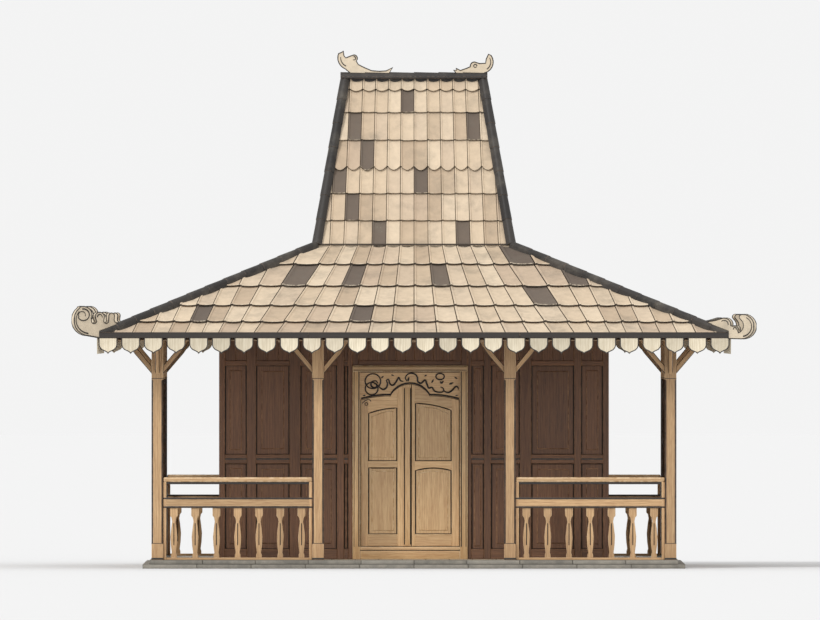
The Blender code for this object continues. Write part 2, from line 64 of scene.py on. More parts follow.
# Roofs
EAVE_X, EAVE_Y, EAVE_Z = 4.06, 3.86, 3.00
BREAK_X, BREAK_Y, BREAK_Z = 1.27, 1.07, 4.16
RIDGE_X, RIDGE_Z = 0.90, 6.34
ROOF_THICK = 0.11

# Walls, door and balustrades
WALL, WALL_X, FRONT_WALL_Y, BACK_WALL_Y = 0.06, 2.476, -1.95, 2.29
DOOR_X, DOOR_HALF, JAMB, FRAME_DEPTH = -0.05, 0.64, 0.10, 0.12
SILL_TOP, HEAD_BOTTOM, HEAD_TOP = 0.27, 2.523, 2.599
LEAF_OUT, LEAF_IN = -1.93, -1.89
LEAF_FOOT, LEAF_EDGE = 0.278, 0.632
MEETING_LEFT, MEETING_RIGHT = 0.012, 0.022
ARCH_HALF, ARCH_FOOT, ARCH_TOP = 0.26, 2.19, 2.353
PANEL_LEFT, PANEL_RIGHT = (-0.54, -0.163), (0.062, 0.535)
PANEL_FOOT, RAIL_TOP = 0.43, 1.37
SHOULDER, LEAF_SIDE = 2.205, 2.150
HINGE_X, HINGE_Y, HINGE_HEIGHTS, HINGE_LONG = 0.636, -1.878, (0.50, 1.22, 1.94), 0.09
RAIL_WIDTH, TOP_RAIL, LOW_RAIL, BALUSTER_PITCH = 0.07, (1.08, 1.17), (0.776, 0.91), 0.273

TURNS = {"front": 0.0, "right": pi / 2, "back": pi, "left": -pi / 2}
Slope = namedtuple("Slope", "low_span top_span low_reach top_reach low_z top_z")


# Finishes


def colour(code):
    """A linear colour from sRGB hex."""
    parts = [int(code[k : k + 2], 16) / 255 for k in (1, 3, 5)]
    return (*[c / 12.92 if c <= 0.04045 else ((c + 0.055) / 1.055) ** 2.4 for c in parts], 1.0)


def put(tree, kind, inputs, stops=(), **settings):
    """Add a node with its settings, its values and its links."""
    made = tree.nodes.new("ShaderNode" + kind)
    for key, value in settings.items():
        setattr(made, key, value)
    for number, (place, code) in enumerate(stops):
        ramp = made.color_ramp.elements
        stop = ramp[number] if number < 2 else ramp.new(place)
        stop.position, stop.color = place, colour(code)
    for key, value in inputs.items():
        if isinstance(value, bpy.types.NodeSocket):
            tree.links.new(value, made.inputs[key])
        else:
            made.inputs[key].default_value = value
    return made


def finish(name, roughness):
    """A new material and its tree, with its base roughness on the shader."""
    made = bpy.data.materials.new(name)
    made.use_nodes = True
    tree = made.node_tree
    tree.nodes["Principled BSDF"].inputs["Roughness"].default_value = roughness
    return made, tree


def dress(tree, base, rough_from, rough_low, rough_high, height, depth, coat=0.0):
    """Join colour, uneven gloss and relief to the shader."""
    shader = tree.nodes["Principled BSDF"]
    rough = put(tree, "MapRange", {"Value": rough_from, "To Min": rough_low, "To Max": rough_high})
    relief = put(tree, "Bump", {"Height": height, "Strength": 0.6, "Distance": depth})
    tree.links.new(base, shader.inputs["Base Color"])
    tree.links.new(rough.outputs["Result"], shader.inputs["Roughness"])
    tree.links.new(relief.outputs["Normal"], shader.inputs["Normal"])
    shader.inputs["Coat Weight"].default_value = coat


def timber(name, dark, light, worn, roughness, coat=0.0):
    """Planed hardwood: streaks along each board, a tone for each, and paler rubbed edges."""
    made, tree = finish(name, roughness)
    wood = put(tree, "Attribute", {}, attribute_name="wood").outputs["Vector"]
    tone = put(tree, "Attribute", {}, attribute_name="tone").outputs["Fac"]
    edge = put(tree, "Attribute", {}, attribute_name="edge").outputs["Fac"]
    place = put(tree, "TexCoord", {}).outputs["Object"]
    run = put(tree, "Mapping", {"Vector": wood, "Scale": (1, 1, 0.05)}).outputs["Vector"]
    # Streaks about 7 mm wide and 140 mm long, year rings about 26 mm apart
    streak = put(tree, "TexNoise", {"Vector": run, "Scale": 140, "Detail": 4, "Roughness": 0.65})
    rings = put(
        tree, "TexWave",
        {"Vector": run, "Scale": 12, "Distortion": 9, "Detail": 3, "Detail Scale": 2.2},
        wave_type="RINGS", rings_direction="Z",
    )
    figure = put(tree, "Mix", {0: 0.16, 2: streak.outputs["Fac"], 3: rings.outputs["Fac"]})
    ramp = put(tree, "ValToRGB", {"Fac": figure.outputs[0]}, stops=((0.22, dark), (0.74, light)))
    lift = put(tree, "MapRange", {"Value": tone, "To Min": 0.80, "To Max": 1.14})
    toned = put(
        tree, "HueSaturation", {"Color": ramp.outputs["Color"], "Value": lift.outputs["Result"]}
    )
    # Patches about 60 mm across, where hands and rain have rubbed the arrises
    rub = put(tree, "TexNoise", {"Vector": place, "Scale": 16, "Detail": 3})
    share = put(
        tree, "MapRange",
        {"Value": rub.outputs["Fac"], "From Min": 0.35, "From Max": 0.65, "To Max": 0.75},
    )
    rubbed = put(tree, "Math", {0: edge, 1: share.outputs["Result"]}, operation="MULTIPLY")
    base = put(
        tree, "Mix", {0: rubbed.outputs[0], 6: toned.outputs["Color"], 7: colour(worn)},
        data_type="RGBA",
    )
    # Splashes darken the wood within 0.4 m of the floor
    height = put(tree, "SeparateXYZ", {"Vector": place})
    damp = put(
        tree, "MapRange",
        {"Value": height.outputs["Z"], "From Min": 0.10, "From Max": 0.50, "To Min": 0.55, "To Max": 0},
    )
    wet = put(tree, "Math", {0: damp.outputs["Result"], 1: rub.outputs["Fac"]}, operation="MULTIPLY")
    stained = put(
        tree, "Mix", {0: wet.outputs[0], 6: base.outputs[2], 7: colour(dark)}, data_type="RGBA"
    )
    dress(
        tree, stained.outputs[2], streak.outputs["Fac"], roughness - 0.12, roughness + 0.14,
        figure.outputs[0], 0.0014, coat,
    )
    return made


def oiled_teak():
    # Teak, planed and oiled: warm pale brown with a satin gloss, for posts, beams and balustrades
    return timber("oiled_teak", "#8f6a45", "#c9a77c", "#e0c7a2", 0.50)


def shade_darkened_teak():
    # Old teak boards, smoked and waxed, deep brown and darkened further as painted shade, so the walls read dark
    # behind the verandah
    return timber("shade_darkened_teak", "#452b1b", "#7a5438", "#987555", 0.55)


def door_teak():
    # Teak door, polished with wax: honey brown, a little glossier than the posts
    return timber("door_teak", "#a97f52", "#dab98a", "#ead3ad", 0.42, 0.12)


def limewashed_teak():
    # Limewashed teak: chalky off-white with the grain showing through, for the pendants
    return timber("limewashed_teak", "#b0a288", "#d8ceb8", "#e6dfce", 0.70)


def black_lacquer():
    # Black lacquer brushed on timber: picks out edges and mouldings, rubbed brown at the arrises
    return timber("black_lacquer", "#15110e", "#2a221c", "#5a4433", 0.38, 0.15)


def rafter_wood():
    # Sawn softwood, never oiled: dull grey brown under the roof
    return timber("rafter_wood", "#6f5a44", "#9a8166", "#a8927a", 0.80)


def clay(name, stops, roughness, worn):
    """Fired clay: a tone for each tile, soot and lichen patches, fine pits and chipped edges."""
    made, tree = finish(name, roughness)
    tone = put(tree, "Attribute", {}, attribute_name="tone").outputs["Fac"]
    edge = put(tree, "Attribute", {}, attribute_name="edge").outputs["Fac"]
    place = put(tree, "TexCoord", {}).outputs["Object"]
    body = put(tree, "ValToRGB", {"Fac": tone}, stops=stops).outputs["Color"]
    # Clouds about 100 mm across from the kiln, and soot patches about 0.4 m across
    cloud = put(tree, "TexNoise", {"Vector": place, "Scale": 10, "Detail": 5, "Roughness": 0.6})
    lift = put(tree, "MapRange", {"Value": cloud.outputs["Fac"], "To Min": 0.78, "To Max": 1.18})
    fired = put(tree, "HueSaturation", {"Color": body, "Value": lift.outputs["Result"]})
    soot_and_painted_shade = put(tree, "TexNoise", {"Vector": place, "Scale": 2.4, "Detail": 6, "Roughness": 0.7})
    patch = put(
        tree, "MapRange",
        {"Value": soot_and_painted_shade.outputs["Fac"], "From Min": 0.50, "From Max": 0.72, "To Max": 0.42},
    )
    aged = put(
        tree, "Mix",
        {0: patch.outputs["Result"], 6: fired.outputs["Color"], 7: colour("#6a6358")},
        data_type="RGBA",
    )
    # Lichen spots about 30 mm across, thinly spread
    spots = put(tree, "TexVoronoi", {"Vector": place, "Scale": 22, "Randomness": 1.0})
    lichen = put(
        tree, "MapRange",
        {"Value": spots.outputs["Distance"], "From Min": 0.10, "From Max": 0.22, "To Min": 0.5, "To Max": 0},
    )
    thin = put(tree, "Math", {0: lichen.outputs["Result"], 1: patch.outputs["Result"]}, operation="MULTIPLY")
    grown = put(
        tree, "Mix", {0: thin.outputs[0], 6: aged.outputs[2], 7: colour("#a9ab93")}, data_type="RGBA"
    )
    chip = put(tree, "TexNoise", {"Vector": place, "Scale": 30, "Detail": 2})
    share = put(
        tree, "MapRange",
        {"Value": chip.outputs["Fac"], "From Min": 0.4, "From Max": 0.6, "To Max": 0.6},
    )
    broken = put(tree, "Math", {0: edge, 1: share.outputs["Result"]}, operation="MULTIPLY")
    base = put(
        tree, "Mix", {0: broken.outputs[0], 6: grown.outputs[2], 7: colour(worn)}, data_type="RGBA"
    )
    # Pits about 5 mm across
    pits = put(tree, "TexNoise", {"Vector": place, "Scale": 190, "Detail": 3, "Roughness": 0.7})
    dress(
        tree, base.outputs[2], cloud.outputs["Fac"], roughness - 0.1, roughness + 0.1,
        pits.outputs["Fac"], 0.0022,
    )
    return made


def clay_tile():
    # Unglazed clay tile, pressed and wood-fired: pale and sun-bleached, with some dark overfired ones
    stops = (
        (0.0, "#5e5248"), (0.16, "#6c5f52"), (0.20, "#ab967e"),
        (0.50, "#c4b096"), (0.75, "#cdbba2"), (1.0, "#b5a089"),
    )
    return clay("clay_tile", stops, 0.82, "#d8c9b1")


def shade_painted_clay():
    # The same clay on the tiles' sides and butts, darkened there as painted shade in the joints: dark, so joints read
    stops = ((0.0, "#3a332c"), (1.0, "#4a4138"))
    return clay("shade_painted_clay", stops, 0.90, "#6a5d50")


def black_clay():
    # Smoke-blackened clay: near-black ridge and hip caps with a dull sheen and brown chips
    stops = ((0.0, "#1c1917"), (1.0, "#312c28"))
    return clay("black_clay", stops, 0.60, "#6e5b4c")


def pale_clay():
    # Modelled terracotta, limewashed: pale scrolls at the corners and on the ridge
    stops = ((0.0, "#bfae95"), (1.0, "#d2c4ad"))
    return clay("pale_clay", stops, 0.78, "#e0d6c4")


def volcanic_stone():
    # Andesite, sawn and worn: mid grey with fine holes and dusty tops
    made, tree = finish("volcanic_stone", 0.8)
    tone = put(tree, "Attribute", {}, attribute_name="tone").outputs["Fac"]
    edge = put(tree, "Attribute", {}, attribute_name="edge").outputs["Fac"]
    place = put(tree, "TexCoord", {}).outputs["Object"]
    body = put(tree, "ValToRGB", {"Fac": tone}, stops=((0.0, "#6b675f"), (1.0, "#88837a")))
    # Holes about 6 mm across, clouds about 0.15 m across
    holes = put(tree, "TexVoronoi", {"Vector": place, "Scale": 150})
    cloud = put(tree, "TexNoise", {"Vector": place, "Scale": 7, "Detail": 6, "Roughness": 0.65})
    dust = put(
        tree, "MapRange",
        {"Value": cloud.outputs["Fac"], "From Min": 0.4, "From Max": 0.75, "To Max": 0.45},
    )
    dusty = put(
        tree, "Mix",
        {0: dust.outputs["Result"], 6: body.outputs["Color"], 7: colour("#b1aa9c")},
        data_type="RGBA",
    )
    rub = put(tree, "Math", {0: edge, 1: cloud.outputs["Fac"]}, operation="MULTIPLY")
    base = put(
        tree, "Mix", {0: rub.outputs[0], 6: dusty.outputs[2], 7: colour("#4a4640")}, data_type="RGBA"
    )
    dress(tree, base.outputs[2], cloud.outputs["Fac"], 0.65, 0.92, holes.outputs["Distance"], 0.003)
    return made


def cement_tile():
    # Pressed cement floor tile, rubbed smooth by feet: pale buff, mottled, with a faint polish
    made, tree = finish("cement_tile", 0.5)
    tone = put(tree, "Attribute", {}, attribute_name="tone").outputs["Fac"]
    edge = put(tree, "Attribute", {}, attribute_name="edge").outputs["Fac"]
    place = put(tree, "TexCoord", {}).outputs["Object"]
    body = put(tree, "ValToRGB", {"Fac": tone}, stops=((0.0, "#b3a68f"), (1.0, "#cdc1aa")))
    # Mottling about 25 mm across, grains about 2.5 mm across
    mottle = put(tree, "TexNoise", {"Vector": place, "Scale": 40, "Detail": 6, "Roughness": 0.7})
    grain = put(tree, "TexNoise", {"Vector": place, "Scale": 400, "Detail": 2})
    lift = put(tree, "MapRange", {"Value": mottle.outputs["Fac"], "To Min": 0.82, "To Max": 1.12})
    mixed = put(
        tree, "HueSaturation", {"Color": body.outputs["Color"], "Value": lift.outputs["Result"]}
    )
    base = put(
        tree, "Mix", {0: edge, 6: mixed.outputs["Color"], 7: colour("#958974")}, data_type="RGBA"
    )
    dress(tree, base.outputs[2], mottle.outputs["Fac"], 0.38, 0.62, grain.outputs["Fac"], 0.0006)
    return made


def lime_mortar():
    # Lime mortar, trowelled: sandy grey bed that shows only in the joints
    made, tree = finish("lime_mortar", 0.92)
    place = put(tree, "TexCoord", {}).outputs["Object"]
    sand = put(tree, "TexNoise", {"Vector": place, "Scale": 300, "Detail": 4})
    body = put(
        tree, "ValToRGB", {"Fac": sand.outputs["Fac"]}, stops=((0.3, "#6f685c"), (0.7, "#978f80"))
    )
    dress(
        tree, body.outputs["Color"], sand.outputs["Fac"], 0.85, 0.98, sand.outputs["Fac"], 0.002
    )
    return made


def wrought_iron():
    # Wrought iron, forged and blacked: dark metal with a hammered skin and some rust
    made, tree = finish("wrought_iron", 0.5)
    tree.nodes["Principled BSDF"].inputs["Metallic"].default_value = 0.8
    place = put(tree, "TexCoord", {}).outputs["Object"]
    # Hammer marks about 8 mm across, rust in patches about 30 mm across
    marks = put(tree, "TexNoise", {"Vector": place, "Scale": 120, "Detail": 2})
    rust = put(tree, "TexNoise", {"Vector": place, "Scale": 34, "Detail": 5})
    body = put(
        tree, "ValToRGB", {"Fac": rust.outputs["Fac"]}, stops=((0.45, "#2b2928"), (0.75, "#5c3b28"))
    )
    dress(
        tree, body.outputs["Color"], rust.outputs["Fac"], 0.38, 0.7, marks.outputs["Fac"], 0.001
    )
    return made


# Shapes

ACROSS, BACK, UP = Vector((1, 0, 0)), Vector((0, 1, 0)), Vector((0, 0, 1))


def start():
    """A part with the layers that the finishes read."""
    part = bmesh.new()
    part.verts.layers.float.new("tone")
    part.verts.layers.float_vector.new("wood")
    part.faces.layers.float.new("edge")
    return part


def stamp(main, part, tone=None, look=0, grain=UP, turn=None):
    """Add a finished part to a piece, with its own tone, and its grain along a direction."""
    tones = part.verts.layers.float["tone"]
    woods = part.verts.layers.float_vector["wood"]
    value = DICE.random() if tone is None else tone
    upright = Vector(grain).rotation_difference(Vector((0, 0, 1))).to_matrix()
    heart = sum((vert.co for vert in part.verts), Vector()) / len(part.verts)
    shift = Vector((DICE.uniform(-0.2, 0.2), DICE.uniform(-0.2, 0.2), DICE.uniform(-3, 3)))
    for vert in part.verts:
        vert[tones] = value
        vert[woods] = upright @ (vert.co - heart) + shift
    for face in part.faces:
        if face.material_index == 0:
            face.material_index = look
    if turn is not None:
        bmesh.ops.transform(part, matrix=turn, verts=part.verts[:])
    mesh = bpy.data.meshes.new("part")
    part.to_mesh(mesh)
    part.free()
    main.from_mesh(mesh)
    bpy.data.meshes.remove(mesh)


def soften(part, edges, size, segments=1, look=None):
    """Round some edges, and mark the new faces as edges for the wear."""
    if size <= 0:
        return
    layer = part.faces.layers.float["edge"]
    made = bmesh.ops.bevel(
        part, geom=list(edges), offset=size, offset_type="OFFSET", segments=segments,
        profile=0.5, affect="EDGES", material=-1, clamp_overlap=True,
    )
    for face in made["faces"]:
        face[layer] = 1.0
        if look is not None:
            face.material_index = look


def block(main, low, high, edge=0.004, tone=None, look=0, grain=UP, turn=None, segments=1):
    """A board or stone between two corners, with its arrises taken off."""
    low, high = Vector(low), Vector(high)
    size = high - low
    part = start()
    place = Matrix.Translation((low + high) / 2) @ Matrix.Diagonal((*size, 1))
    bmesh.ops.create_cube(part, size=1, matrix=place)
    soften(part, part.edges[:], min(edge, 0.3 * min(size)), segments)
    stamp(main, part, tone, look, grain, turn)


def sheet(part, outline, depth, across=(0, 1, 0)):
    """A plate from a flat outline, made thick along across."""
    face = part.faces.new([part.verts.new(point) for point in outline])
    pushed = bmesh.ops.extrude_face_region(part, geom=[face])
    moved = [v for v in pushed["geom"] if isinstance(v, bmesh.types.BMVert)]
    bmesh.ops.translate(part, verts=moved, vec=Vector(across).normalized() * depth)
    bmesh.ops.recalc_face_normals(part, faces=part.faces[:])


def trim(part, point, outward):
    """Cut away what lies beyond a plane, and close the cut."""
    whole = part.verts[:] + part.edges[:] + part.faces[:]
    cut = bmesh.ops.bisect_plane(
        part, geom=whole, dist=1e-6, plane_co=point, plane_no=outward, clear_outer=True
    )
    rim = [edge for edge in cut["geom_cut"] if isinstance(edge, bmesh.types.BMEdge)]
    if rim:
        bmesh.ops.edgeloop_fill(part, edges=rim)


def facing(part, direction, least=0.9):
    """The faces of a part that look along a direction."""
    part.normal_update()
    return [face for face in part.faces if face.normal.dot(Vector(direction)) > least]


def shrunk(outline, inset):
    """An outline drawn in by a little on every side; its top may be arched."""
    left, right = min(x for x, _ in outline), max(x for x, _ in outline)
    low = min(z for _, z in outline)
    points = []
    for x, z in outline:
        x += inset * (1 - 2 * (x - left) / (right - left))
        points.append((x, z + inset if z - low < 0.01 else z - inset))
    return points


def fielded(main, outline, middle_y, thick, margin, rise):
    """A panel with a raised field on both faces, from an outline in XZ."""
    tone = DICE.random()
    for points, deep, bevelled in ((outline, thick, 0), (shrunk(outline, margin), thick + 2 * rise, rise)):
        part = start()
        sheet(part, [Vector((x, middle_y - deep / 2, z)) for x, z in points], deep)
        rims = [e for e in part.edges if abs(e.verts[0].co.y - e.verts[1].co.y) < 1e-6]
        soften(part, rims, bevelled)
        stamp(main, part, tone)


def tendril(main, points, radii, sides=6, closed=False, tone=None, look=0, flat=1.0):
    """A round stem swept along a path that lies in an upright plane."""
    count = len(points)
    run = points[-1] - points[0]
    crossed = [(b - a).cross(points[(k + 2) % count] - b) for k, (a, b) in enumerate(
        zip(points, points[1:] + points[:1])
    )]
    binormal = max(crossed, key=lambda v: v.length).normalized()
    if binormal.length < 0.5:
        binormal = run.cross(Vector((0, 0, 1))).normalized() if abs(run.x) + abs(run.y) > 1e-6 else Vector((0, 1, 0))
    part = start()
    places = []
    for number, point in enumerate(points):
        before = points[number - 1] if closed or number else point
        after = points[(number + 1) % count] if closed or number < count - 1 else point
        along = (after - before).normalized()
        side = binormal.cross(along).normalized()
        turn = Matrix((side, binormal * flat, along)).transposed().to_4x4()
        places.append(Matrix.Translation(point) @ turn @ Matrix.Scale(radii[number], 4))
    made = bmesh.ops.create_circle(part, segments=sides, radius=1, cap_ends=False, matrix=places[0])
    ring = list({edge for vert in made["verts"] for edge in vert.link_edges})
    first = ring
    for number in range(1, count):
        grown = bmesh.ops.extrude_edge_only(part, edges=ring)["geom"]
        fresh = [v for v in grown if isinstance(v, bmesh.types.BMVert)]
        ring = [
            e for e in grown
            if isinstance(e, bmesh.types.BMEdge) and e.verts[0] in fresh and e.verts[1] in fresh
        ]
        step = places[number] @ places[number - 1].inverted()
        bmesh.ops.transform(part, matrix=step, verts=fresh)
    if closed:
        bmesh.ops.bridge_loops(part, edges=first + ring)
    else:
        bmesh.ops.edgeloop_fill(part, edges=first)
        bmesh.ops.edgeloop_fill(part, edges=ring)
    bmesh.ops.recalc_face_normals(part, faces=part.faces[:])
    stamp(main, part, tone, look)


def flowing(points, steps=5):
    """A smooth path through some points, each a vector."""
    ends = [2 * points[0] - points[1]] + points + [2 * points[-1] - points[-2]]
    path = []
    for a, b, c, d in zip(ends, ends[1:], ends[2:], ends[3:]):
        for k in range(steps):
            t = k / steps
            path.append(
                0.5 * (2 * b + (c - a) * t + (2 * a - 5 * b + 4 * c - d) * t**2
                       + (3 * b - a - 3 * c + d) * t**3)
            )
    return path + [points[-1]]


def bead(main, points, radius, look=0, closed=True, sides=4):
    """A thin moulding along a line of points."""
    tendril(main, points, [radius] * len(points), sides=sides, closed=closed, look=look)


def piece(name, bm, finishes, nodes=(), body="house", smooth=38):
    """Make the finished piece, and say what it rides on and stands for."""
    bmesh.ops.recalc_face_normals(bm, faces=bm.faces[:])
    mesh = bpy.data.meshes.new(name)
    bm.to_mesh(mesh)
    bm.free()
    for each in finishes:
        mesh.materials.append(each)
    mesh.shade_smooth()
    mesh.set_sharp_from_angle(angle=radians(smooth))
    made = bpy.data.objects.new(name, mesh)
    bpy.context.scene.collection.objects.link(made)
    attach(made, body)
    if nodes:
        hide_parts(*nodes)
    return made


def turn_all(bm, angle, shift=(0, 0, 0)):
    """Turn a whole piece about Z, and then move it."""
    place = Matrix.Translation(shift) @ Matrix.Rotation(angle, 4, "Z")
    bmesh.ops.transform(bm, matrix=place, verts=bm.verts[:])


# Plinth


def kerb(bm, half_x, half_y, low, high, deep, look):
    """Long stones laid end to end round a rectangle."""
    for name, turn in TURNS.items():
        span, reach = (half_x, half_y) if name in ("front", "back") else (half_y, half_x)
        inner = span if name in ("front", "back") else span - deep
        count = round(2 * inner / 0.68)
        for k in range(count):
            left = -inner + 2 * inner * k / count
            right = -inner + 2 * inner * (k + 1) / count
            drop = DICE.uniform(0, 0.0015)
            block(
                bm, (left + 0.002, -reach, low), (right - 0.002, -reach + deep, high - drop),
                0.005, look=look, turn=Matrix.Rotation(turn, 4, "Z"), segments=2,
            )


def plinth(stone, tile, mortar):
    bm = bmesh.new()
    x, y = PLINTH_X + PLINTH_STEP, PLINTH_Y + PLINTH_STEP
    block(bm, (-x + 0.02, -y + 0.02, 0.0), (x - 0.02, y - 0.02, COURSE - 0.006), 0.002, look=1)
    kerb(bm, x, y, 0.0, COURSE - GAP, 0.26, 0)
    piece("plinth_kerb", bm, (stone, mortar), ("plinth_base",))

    bm = bmesh.new()
    inset, joint, pitch = 0.22, 0.0035, 0.30
    block(
        bm, (-PLINTH_X + 0.02, -PLINTH_Y + 0.02, COURSE),
        (PLINTH_X - 0.02, PLINTH_Y - 0.02, FLOOR - 0.006), 0.002, look=2,
    )
    kerb(bm, PLINTH_X, PLINTH_Y, COURSE, FLOOR, inset, 0)
    wide, deep = 2 * (PLINTH_X - inset), 2 * (PLINTH_Y - inset)
    across, back = round(wide / pitch), round(deep / pitch)
    for i in range(across):
        for j in range(back):
            left, near = -wide / 2 + wide * i / across, -deep / 2 + deep * j / back
            top = FLOOR - DICE.uniform(0, 0.001)
            block(
                bm, (left + joint, near + joint, COURSE + 0.02),
                (left + wide / across - joint, near + deep / back - joint, top), 0.003, look=1,
            )
    piece("floor_tiles", bm, (stone, tile, mortar), ("plinth_floor",))


# Posts, beams


def chamfered(bm, x, y, low, high, wide, dark):
    """A square post with stopped chamfers, picked out in dark lacquer, and a moulded foot and neck."""
    half = wide / 2
    part = start()
    place = Matrix.Translation((x, y, (low + high) / 2)) @ Matrix.Diagonal((wide, wide, high - low, 1))
    bmesh.ops.create_cube(part, size=1, matrix=place)
    for z in (low + 0.22, high - 0.62, high - 0.10):
        whole = part.verts[:] + part.edges[:] + part.faces[:]
        bmesh.ops.bisect_plane(part, geom=whole, dist=1e-6, plane_co=(0, 0, z), plane_no=(0, 0, 1))
    shaft = [
        e for e in part.edges
        if abs(e.verts[0].co.z - e.verts[1].co.z) > 0.3
        and min(v.co.z for v in e.verts) > low + 0.2
        and max(v.co.z for v in e.verts) < high - 0.6
    ]
    soften(part, shaft, 0.021, look=dark)
    rest = [e for e in part.edges if abs(e.verts[0].co.z - e.verts[1].co.z) > 0.05 and e.calc_length() < 0.6]
    soften(part, rest, 0.004)
    stamp(bm, part)
    for z, tall, proud in ((low, 0.03, 0.0), (low + 0.205, 0.014, 0.0), (high - 0.60, 0.014, 0.0)):
        reach = half + 0.001 + proud
        block(bm, (x - reach, y - reach, z), (x + reach, y + reach, z + tall), 0.004, look=dark)


def strut(bm, x, y, direction, dark):
    """A slanting strut between the post and the beam, with dark edges."""
    out = Vector((*direction, 0))
    across = Vector((-direction[1], direction[0], 0))
    rise = Vector((0, 0, 1))
    top = BEAM_BOTTOM - GAP
    slope = (top - STRUT_FOOT) / STRUT_REACH
    root, tip = POST / 2 - 0.004, POST / 2 + STRUT_REACH
    foot = STRUT_FOOT - 0.004 * slope
    middle = (root + tip) / 2
    bow = 0.02
    corners = [
        out * root + rise * foot,
        out * (middle + bow) + rise * (STRUT_FOOT + slope * (middle - POST / 2) - bow * 0.4),
        out * tip + rise * top,
        out * (tip - STRUT_DEPTH / slope) + rise * top,
        out * (middle + bow - 0.045) + rise * (STRUT_FOOT + slope * (middle - POST / 2) + 0.045),
        out * root + rise * (foot + STRUT_DEPTH),
    ]
    post = Vector((x, y, 0))
    part = start()
    sheet(part, [post + c - across * STRUT_WIDTH / 2 for c in corners], STRUT_WIDTH, across)
    long = [e for e in part.edges if abs((e.verts[1].co - e.verts[0].co).normalized().dot(across)) < 0.5]
    soften(part, long, 0.008, look=dark)
    for point, normal in under_planes():
        trim(part, point, normal)
    stamp(bm, part, grain=out * STRUT_REACH + rise * (top - STRUT_FOOT))


def slope_normal(slope):
    rise, run = slope.top_z - slope.low_z, slope.low_reach - slope.top_reach
    return Vector((0, -rise, run)).normalized()


def lower_slope(name):
    if name in ("front", "back"):
        return Slope(EAVE_X, BREAK_X, EAVE_Y, BREAK_Y, EAVE_Z, BREAK_Z)
    return Slope(EAVE_Y, BREAK_Y, EAVE_X, BREAK_X, EAVE_Z, BREAK_Z)


def upper_slope(name):
    if name in ("front", "back"):
        return Slope(BREAK_X, RIDGE_X, BREAK_Y, 0.0, BREAK_Z, RIDGE_Z)
    return Slope(BREAK_Y, 0.0, BREAK_X, RIDGE_X, BREAK_Z, RIDGE_Z)


def under_planes():
    """Planes just under the four slopes of the skirt roof, as points and outward normals."""
    planes = []
    for name, turn in TURNS.items():
        slope = lower_slope(name)
        spin = Matrix.Rotation(turn, 3, "Z")
        normal = slope_normal(slope)
        point = Vector((0, -slope.low_reach, slope.low_z)) - normal * (ROOF_THICK + GAP)
        planes.append((spin @ point, spin @ normal))
    return planes


def posts(wood, dark):
    along_x, along_y = [(1, 0), (-1, 0)], [(0, 1), (0, -1)]
    places = {}
    for number, x in enumerate(POST_X, start=1):
        corner = along_y if number in (1, 4) else []
        places[f"front_post_{number}"] = (x, POST_Y[0], along_x + corner)
        places[f"back_post_{number}"] = (x, POST_Y[3], along_x + corner)
    for label, y in (("front", POST_Y[1]), ("back", POST_Y[2])):
        places["left_post_" + label] = (POST_X[0], y, along_y)
        places["right_post_" + label] = (POST_X[3], y, along_y)
    for name, (x, y, directions) in places.items():
        bm = bmesh.new()
        chamfered(bm, x, y, FLOOR + GAP, BEAM_BOTTOM - GAP, POST - 0.002, 1)
        for direction in directions:
            strut(bm, x, y, direction, 1)
        piece(name + "_timber", bm, (wood, dark), (name,))


def beams(wood, dark):
    """The eave beam in four lengths, pinned at the corners, and the inner frame."""
    for label, x, y, width, low, high, node in (
        ("eave_beams", POST_X[3], POST_Y[3], BEAM_WIDTH, BEAM_BOTTOM, BEAM_TOP, "eave_beam"),
        ("inner_frame", CORE_X, CORE_Y, RING_WIDTH, RING_TOP - RING_DEPTH, RING_TOP, "central_frame"),
    ):
        bm = bmesh.new()
        half = width / 2
        for side in (-1, 1):
            near, far = sorted((side * y - half, side * y + half))
            block(bm, (-x - half, near, low), (x + half, far, high), 0.008, grain=ACROSS, segments=2)
            near, far = sorted((side * x - half, side * x + half))
            block(
                bm, (near, -y + half + 0.001, low), (far, y - half - 0.001, high), 0.008, grain=BACK,
                segments=2,
            )
        if node == "central_frame":
            for px in (-x, x):
                for py in (-y, y):
                    chamfered(bm, px, py, FLOOR + GAP, low, CORE_POST - 0.002, 1)
        else:
            for px in (-x, x):
                for py in (-y, y):
                    block(bm, (px - 0.014, py - 0.014, low), (px + 0.014, py + 0.014, high), 0.004, look=1)
        piece(label, bm, (wood, dark), (node,))


# Walls


def boards(bm, left, right, low, high, middle_y, thick):
    """Upright boards side by side."""
    count = max(1, round((right - left) / 0.125))
    for k in range(count):
        a = left + (right - left) * k / count
        b = left + (right - left) * (k + 1) / count
        block(bm, (a + 0.001, middle_y - thick / 2, low), (b - 0.001, middle_y + thick / 2, high), 0.005)


